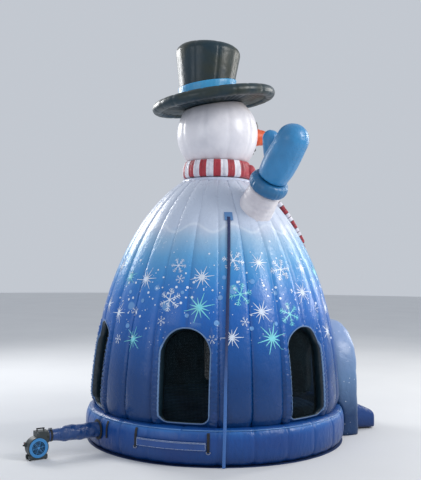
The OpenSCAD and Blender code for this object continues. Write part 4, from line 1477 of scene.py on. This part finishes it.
def make_arms():
    white = Shader("arm_vinyl")
    white.set(Base_Color=white.mix(white.patches(2.5, 3, 0.35, 0.7), lin(226, 221, 225), lin(205, 199, 205)),
              Roughness=white.rough(0.32, 0.46), Coat_Weight=0.2, IOR=1.48)
    white.bump(white.math("MULTIPLY_ADD", white.noise(14, 2), 0.3, white.noise(4.5, 4, 0.6, 1.0)), 0.45, 0.03)
    cuff_mat = vinyl("cuff_vinyl", lin(32, 108, 158), dark=0.72, wrinkle=0.55)
    mitt_mat = vinyl("mitten_vinyl", lin(52, 136, 192), dark=0.78, wrinkle=0.55)
    palm = [(0.001, 0.129), (0.20, 0.130), (0.248, 0.142), (0.262, 0.180), (0.274, 0.27), (0.284, 0.38),
            (0.287, 0.50), (0.282, 0.64), (0.274, 0.77), (0.267, 0.89)]
    palm += quarter(0, 0.89, 0.267, 10, 10) + [(0.001, 1.157)]
    thumb = [(0.001, -0.02), (0.120, -0.018), (0.132, 0.06), (0.139, 0.2), (0.143, 0.34), (0.141, 0.47)]
    thumb += quarter(0, 0.47, 0.141, 8, 8) + [(0.001, 0.611)]
    joint = Matrix.Translation((-0.120, 0, 0.290)) @ Matrix.Rotation(rad(-49), 4, "Y")
    verts, faces = [], []
    for profile, m in ((palm, Matrix()), (thumb, joint)):
        part = spun(profile, 96)
        capped(part, 96)
        add_part(verts, faces, ([m @ v for v in part[0]], part[1]))
    hand_verts, hand_faces = remeshed("hand_form", verts, faces, 0.014, 7)
    for v in hand_verts:
        # shallow puckers run in from the seam round the mitten's edge
        edge = math.exp(-(v.y / 0.035) ** 2)
        out = Vector((v.x, v.y, 0)).normalized()
        v -= out * 0.007 * edge * (0.6 + 0.4 * sin(v.z * 2 * pi / 0.055))
        v -= out * 0.006 * (0.5 + 0.5 * sin(math.atan2(v.y, v.x) * 16)) * clamp((0.30 - v.z) / 0.17)
    for side, word in ((-1, "right"), (1, "left")):
        m = arm_matrix(side)
        profile = [(0.330, -0.70), (0.322, -0.60), (0.312, -0.48), (0.303, -0.34), (0.294, -0.22),
                   (0.286, -0.15), (0.270, -0.128)]
        dense = []
        for (r0, z0), (r1, z1) in zip(profile, profile[1:]):
            dense += [(lerp(r0, r1, k / 8), lerp(z0, z1, k / 8)) for k in range(8)]
        dense.append(profile[-1])
        part = spun(dense, 96, bend=lambda a, r, z: (
            r - 0.006 * (0.5 + 0.5 * sin(a * 9 + z * 7)) - 0.004 * abs(sin(z * 2 * pi / 0.17)), z))
        capped(part, 96)
        make_piece("arm_" + word + "_skin", [m @ v for v in part[0]], part[1], white.mat,
                   replaces=["arm_" + word])
        profile = [(0.02, -0.122), (0.20, -0.123)]
        profile += [(0.228 + 0.111 * max(cos(t), 0) ** 0.8, 0.124 * sin(t))
                    for t in [-pi / 2 + pi * k / 18 for k in range(19)]]
        profile += [(0.20, 0.123), (0.02, 0.122)]
        part = spun(profile, 144, bend=lambda a, r, z: (
            r - (0.008 * abs(across(a / (2 * pi) * 12)) ** 5 + 0.004 * (0.5 + 0.5 * sin(a * 34)))
            * clamp((r - 0.2) / 0.1), z))
        capped(part, 144)
        ob = make_piece("cuff_" + word + "_roll", [m @ v for v in part[0]], part[1], cuff_mat,
                        replaces=["cuff_" + word])
        ob = make_piece("mitten_" + word + "_skin", [m @ v for v in hand_verts], hand_faces, mitt_mat,
                        replaces=["mitten_" + word])


make_arms()


# ---------------------------------------------------------------- inflation tube, zip flap and straps
TUBE_ANGLE, TUBE_Z = 104.0, 0.340
TUBE = (Matrix.Rotation(rad(TUBE_ANGLE), 4, "Z") @ Matrix.Translation((0, 0, TUBE_Z))
        @ Matrix.Rotation(rad(90), 4, "Y"))


def make_tube():
    mat = vinyl("tube_cloth", lin(14, 62, 122), dark=0.66, rough=(0.26, 0.40), wrinkle=0.75, coat=0.4)
    profile = []
    for k in range(121):
        x = lerp(2.246, 3.172, k / 120)
        if x < 2.853:
            r = 0.125
        elif x < 3.063:
            r = lerp(0.125, 0.093, smooth((x - 2.853) / 0.21))
        else:
            r = 0.093
        profile.append((r, x))
    rows = []
    for r, x in profile:
        row = []
        free = smooth((x - 2.32) / 0.1) * (1 - smooth((x - 3.04) / 0.05))
        for i in range(72):
            a = 2 * pi * i / 72
            twist = sin(3 * a + 16 * x) + 0.7 * sin(5 * a - 23 * x + 1.3) + 0.5 * sin(2 * a + 47 * x)
            sag = -0.016 * free * cos(a)
            rr = r - 0.0015 - free * (0.0075 + 0.0042 * twist)
            row.append(TUBE @ Vector((rr * cos(a) - sag * 0.4, rr * sin(a), x)))
        rows.append(row)
    for r, x in reversed(profile):
        rows.append([TUBE @ Vector(((r - 0.020 if x < 3.0 else r - 0.0028) * cos(2 * pi * i / 72),
                                    (r - 0.020 if x < 3.0 else r - 0.0028) * sin(2 * pi * i / 72), x))
                                    for i in range(72)])
    verts, faces = grid(rows, closed_u=True, closed_v=True)
    make_piece("inflation_tube_cloth", verts, faces, mat, replaces=["inflation_tube"])
    # collar: a black ring of webbing sewn round the tube's root
    web = webbing("collar_webbing", lin(26, 28, 32))
    sec = [(0.127, 2.314), (0.150, 2.3135), (0.165, 2.315), (0.1665, 2.3175), (0.160, 2.3195),
           (0.140, 2.322), (0.134, 2.3265), (0.127, 2.327)]
    rows = [[TUBE @ p for p in circle(r, x, 96)] for r, x in sec]
    verts, faces = grid(rows, closed_u=True, closed_v=True)
    make_piece("tube_collar_web", verts, faces, web, replaces=["tube_collar"])
    sec = [(0.0945, 3.1155), (0.0955, 3.115), (0.0968, 3.116), (0.0962, 3.124), (0.0968, 3.134),
           (0.0962, 3.144), (0.0968, 3.152), (0.0955, 3.153), (0.0945, 3.1525)]
    rows = [[TUBE @ p for p in circle(r, x, 96)] for r, x in sec]
    verts, faces = grid(rows, closed_u=True, closed_v=True)
    make_piece("tube_strap_web", verts, faces, web, replaces=["tube_strap"])
    return web


WEB = make_tube()


def make_flap():
    mat = vinyl("flap_vinyl", lin(16, 72, 146), dark=0.74, wrinkle=0.5)
    stitch = webbing("flap_stitch", lin(210, 224, 242))
    cols, rows = 84, 16
    front, back = [], []
    for j in range(rows + 1):
        z = lerp(0.263, 0.391, j / rows)
        f, b = [], []
        for i in range(cols + 1):
            a = lerp(FLAP_FROM + 0.02, FLAP_TO - 0.02, i / cols)
            ease = clamp(1 - (z - 0.263) / 0.128)
            wave = 0.0016 * sin(i * 0.55) * ease + 0.0008 * sin(i * 1.7 + j)
            r = ring_out(z, 0.0) + 0.0265 + wave
            f.append(polar(a, r + 0.0022, z))
            b.append(polar(a, r - 0.0012, z))
        front.append(f)
        back.append(b)
    verts = [p for r in front for p in r] + [p for r in back for p in r]
    n = (rows + 1) * (cols + 1)
    faces = []
    for j in range(rows):
        for i in range(cols):
            a, b = j * (cols + 1) + i, j * (cols + 1) + i + 1
            c, d = b + cols + 1, a + cols + 1
            faces += [(a, b, c, d), (n + d, n + c, n + b, n + a)]
    rim = [j * (cols + 1) for j in range(rows + 1)]
    edge = [i for i in range(cols + 1)] + [j * (cols + 1) + cols for j in range(1, rows + 1)]
    edge += [rows * (cols + 1) + i for i in reversed(range(cols))] + list(reversed(rim))[1:-1]
    for k in range(len(edge)):
        p, q = edge[k], edge[(k + 1) % len(edge)]
        faces.append((q, p, n + p, n + q))
    ob = make_piece("zip_flap_cloth", verts, faces, mat, body="flap",
                    replaces=["zip_flap"])
    # stitch lines: one along each side and the foot, two along the top
    v, f = [], []

    def run(points):
        for p, q in zip(points, points[1:]):
            gap = (q - p).length
            count = max(1, int(gap / 0.011))
            for k in range(count):
                s, e = p.lerp(q, (k + 0.1) / count), p.lerp(q, (k + 0.8) / count)
                along = (e - s).normalized()
                out = Vector((s.x, s.y, 0)).normalized()
                side = along.cross(out)
                b = len(v)
                for end in (s, e):
                    for w, o in ((-0.0032, 0.0), (0, 0.0015), (0.0032, 0.0)):
                        v.append(end + side * w + out * o)
                f.extend([(b, b + 1, b + 4, b + 3), (b + 1, b + 2, b + 5, b + 4),
                          (b + 2, b, b + 3, b + 5), (b, b + 2, b + 1), (b + 3, b + 4, b + 5)])
    def at(a, z):
        r = ring_out(z) + 0.0265 + 0.0030
        return polar(a, r, z)
    for z in (0.383, 0.369, 0.272):
        run([at(lerp(FLAP_FROM + 0.25, FLAP_TO - 0.25, i / 60), z) for i in range(61)])
    for a in (FLAP_FROM + 0.25, FLAP_TO - 0.25):
        run([at(a, lerp(0.272, 0.383, i / 6)) for i in range(7)])
    seam = make_piece("zip_flap_stitches", v, f, stitch, body="flap")
    arc = 2.336 * rad(FLAP_TO - FLAP_FROM)


make_flap()


# ---------------------------------------------------------------- CAD pieces that stay, with their materials
def dress():
    dark = plastic("blower_dark", lin(46, 54, 56), rough=(0.4, 0.55))
    black = plastic("black_rubber", lin(24, 25, 27), rough=(0.55, 0.75), bump=0.25)
    looks = {
        "blower_plastic": dark, "grille_plastic": plastic("grille_plastic", lin(52, 128, 188)),
        "impeller_plastic": plastic("impeller_plastic", lin(70, 74, 80)),
        "motor_metal": metal("motor_metal", lin(120, 124, 130), (0.35, 0.55)), "black_rubber": black,
        "rocker_plastic": plastic("rocker_plastic", lin(190, 40, 36)),
        "zip_metal": metal("zip_metal", lin(204, 170, 96)),
        "buckle_metal": metal("buckle_metal", lin(190, 194, 200)),
        "lever_plastic": plastic("lever_plastic", lin(38, 40, 44)), "webbing": WEB,
        "patch_vinyl": vinyl("patch_vinyl", lin(92, 140, 196), dark=0.8, wrinkle=0.3),
    }
    for part in frame["record"]["subparts"]:
        look = looks.get(part["material_slot"])
        if look:
            mesh = frame["nodes"][part["node"]].data
            mesh.materials.clear()
            mesh.materials.append(look)


dress()


# ---------------------------------------------------------------- stage and light
def make_stage():
    floor = Shader("studio_floor")
    floor.set(Base_Color=floor.mix(floor.noise(0.4, 2), lin(212, 213, 215), lin(222, 223, 224)),
              Roughness=0.9)
    me = bpy.data.meshes.new("floor")
    n, r = 96, 60.0
    me.from_pydata(circle(r, -0.001, n), [], [tuple(range(n))])
    me.materials.append(floor.mat)
    ob = bpy.data.objects.new("floor", me)
    bpy.context.scene.collection.objects.link(ob)


def area_light(name, place, aim, size, power, colour=(1, 1, 1)):
    data = bpy.data.lights.new(name, "AREA")
    data.shape = "RECTANGLE"
    data.size, data.size_y = size
    data.energy = power
    data.color = colour
    ob = bpy.data.objects.new(name, data)
    ob.location = place
    ob.rotation_euler = (Vector(aim) - Vector(place)).to_track_quat("-Z", "Y").to_euler()
    bpy.context.scene.collection.objects.link(ob)


def make_light():
    world = bpy.data.worlds.new("studio")
    world.use_nodes = True
    back = world.node_tree.nodes["Background"]
    back.inputs["Color"].default_value = (0.80, 0.85, 0.93, 1)
    back.inputs["Strength"].default_value = 0.68
    bpy.context.scene.world = world
    area_light("key", (-9.5, -9.0, 10.0), (0, 0, 3.0), (5.0, 7.0), 1150, (1.0, 0.98, 0.95))
    area_light("fill", (-8.0, 13.0, 6.0), (0, 0, 2.5), (8.0, 8.0), 260, (0.92, 0.96, 1.0))
    area_light("sun", (3.0, -14.0, 8.0), (0, 0, 2.5), (1.6, 8.0), 620, (1.0, 0.97, 0.92))
    area_light("rim", (10.0, 6.0, 9.0), (0, 0, 3.5), (5.0, 5.0), 900)
    bpy.context.scene.view_settings.view_transform = "Standard"


make_stage()
make_light()
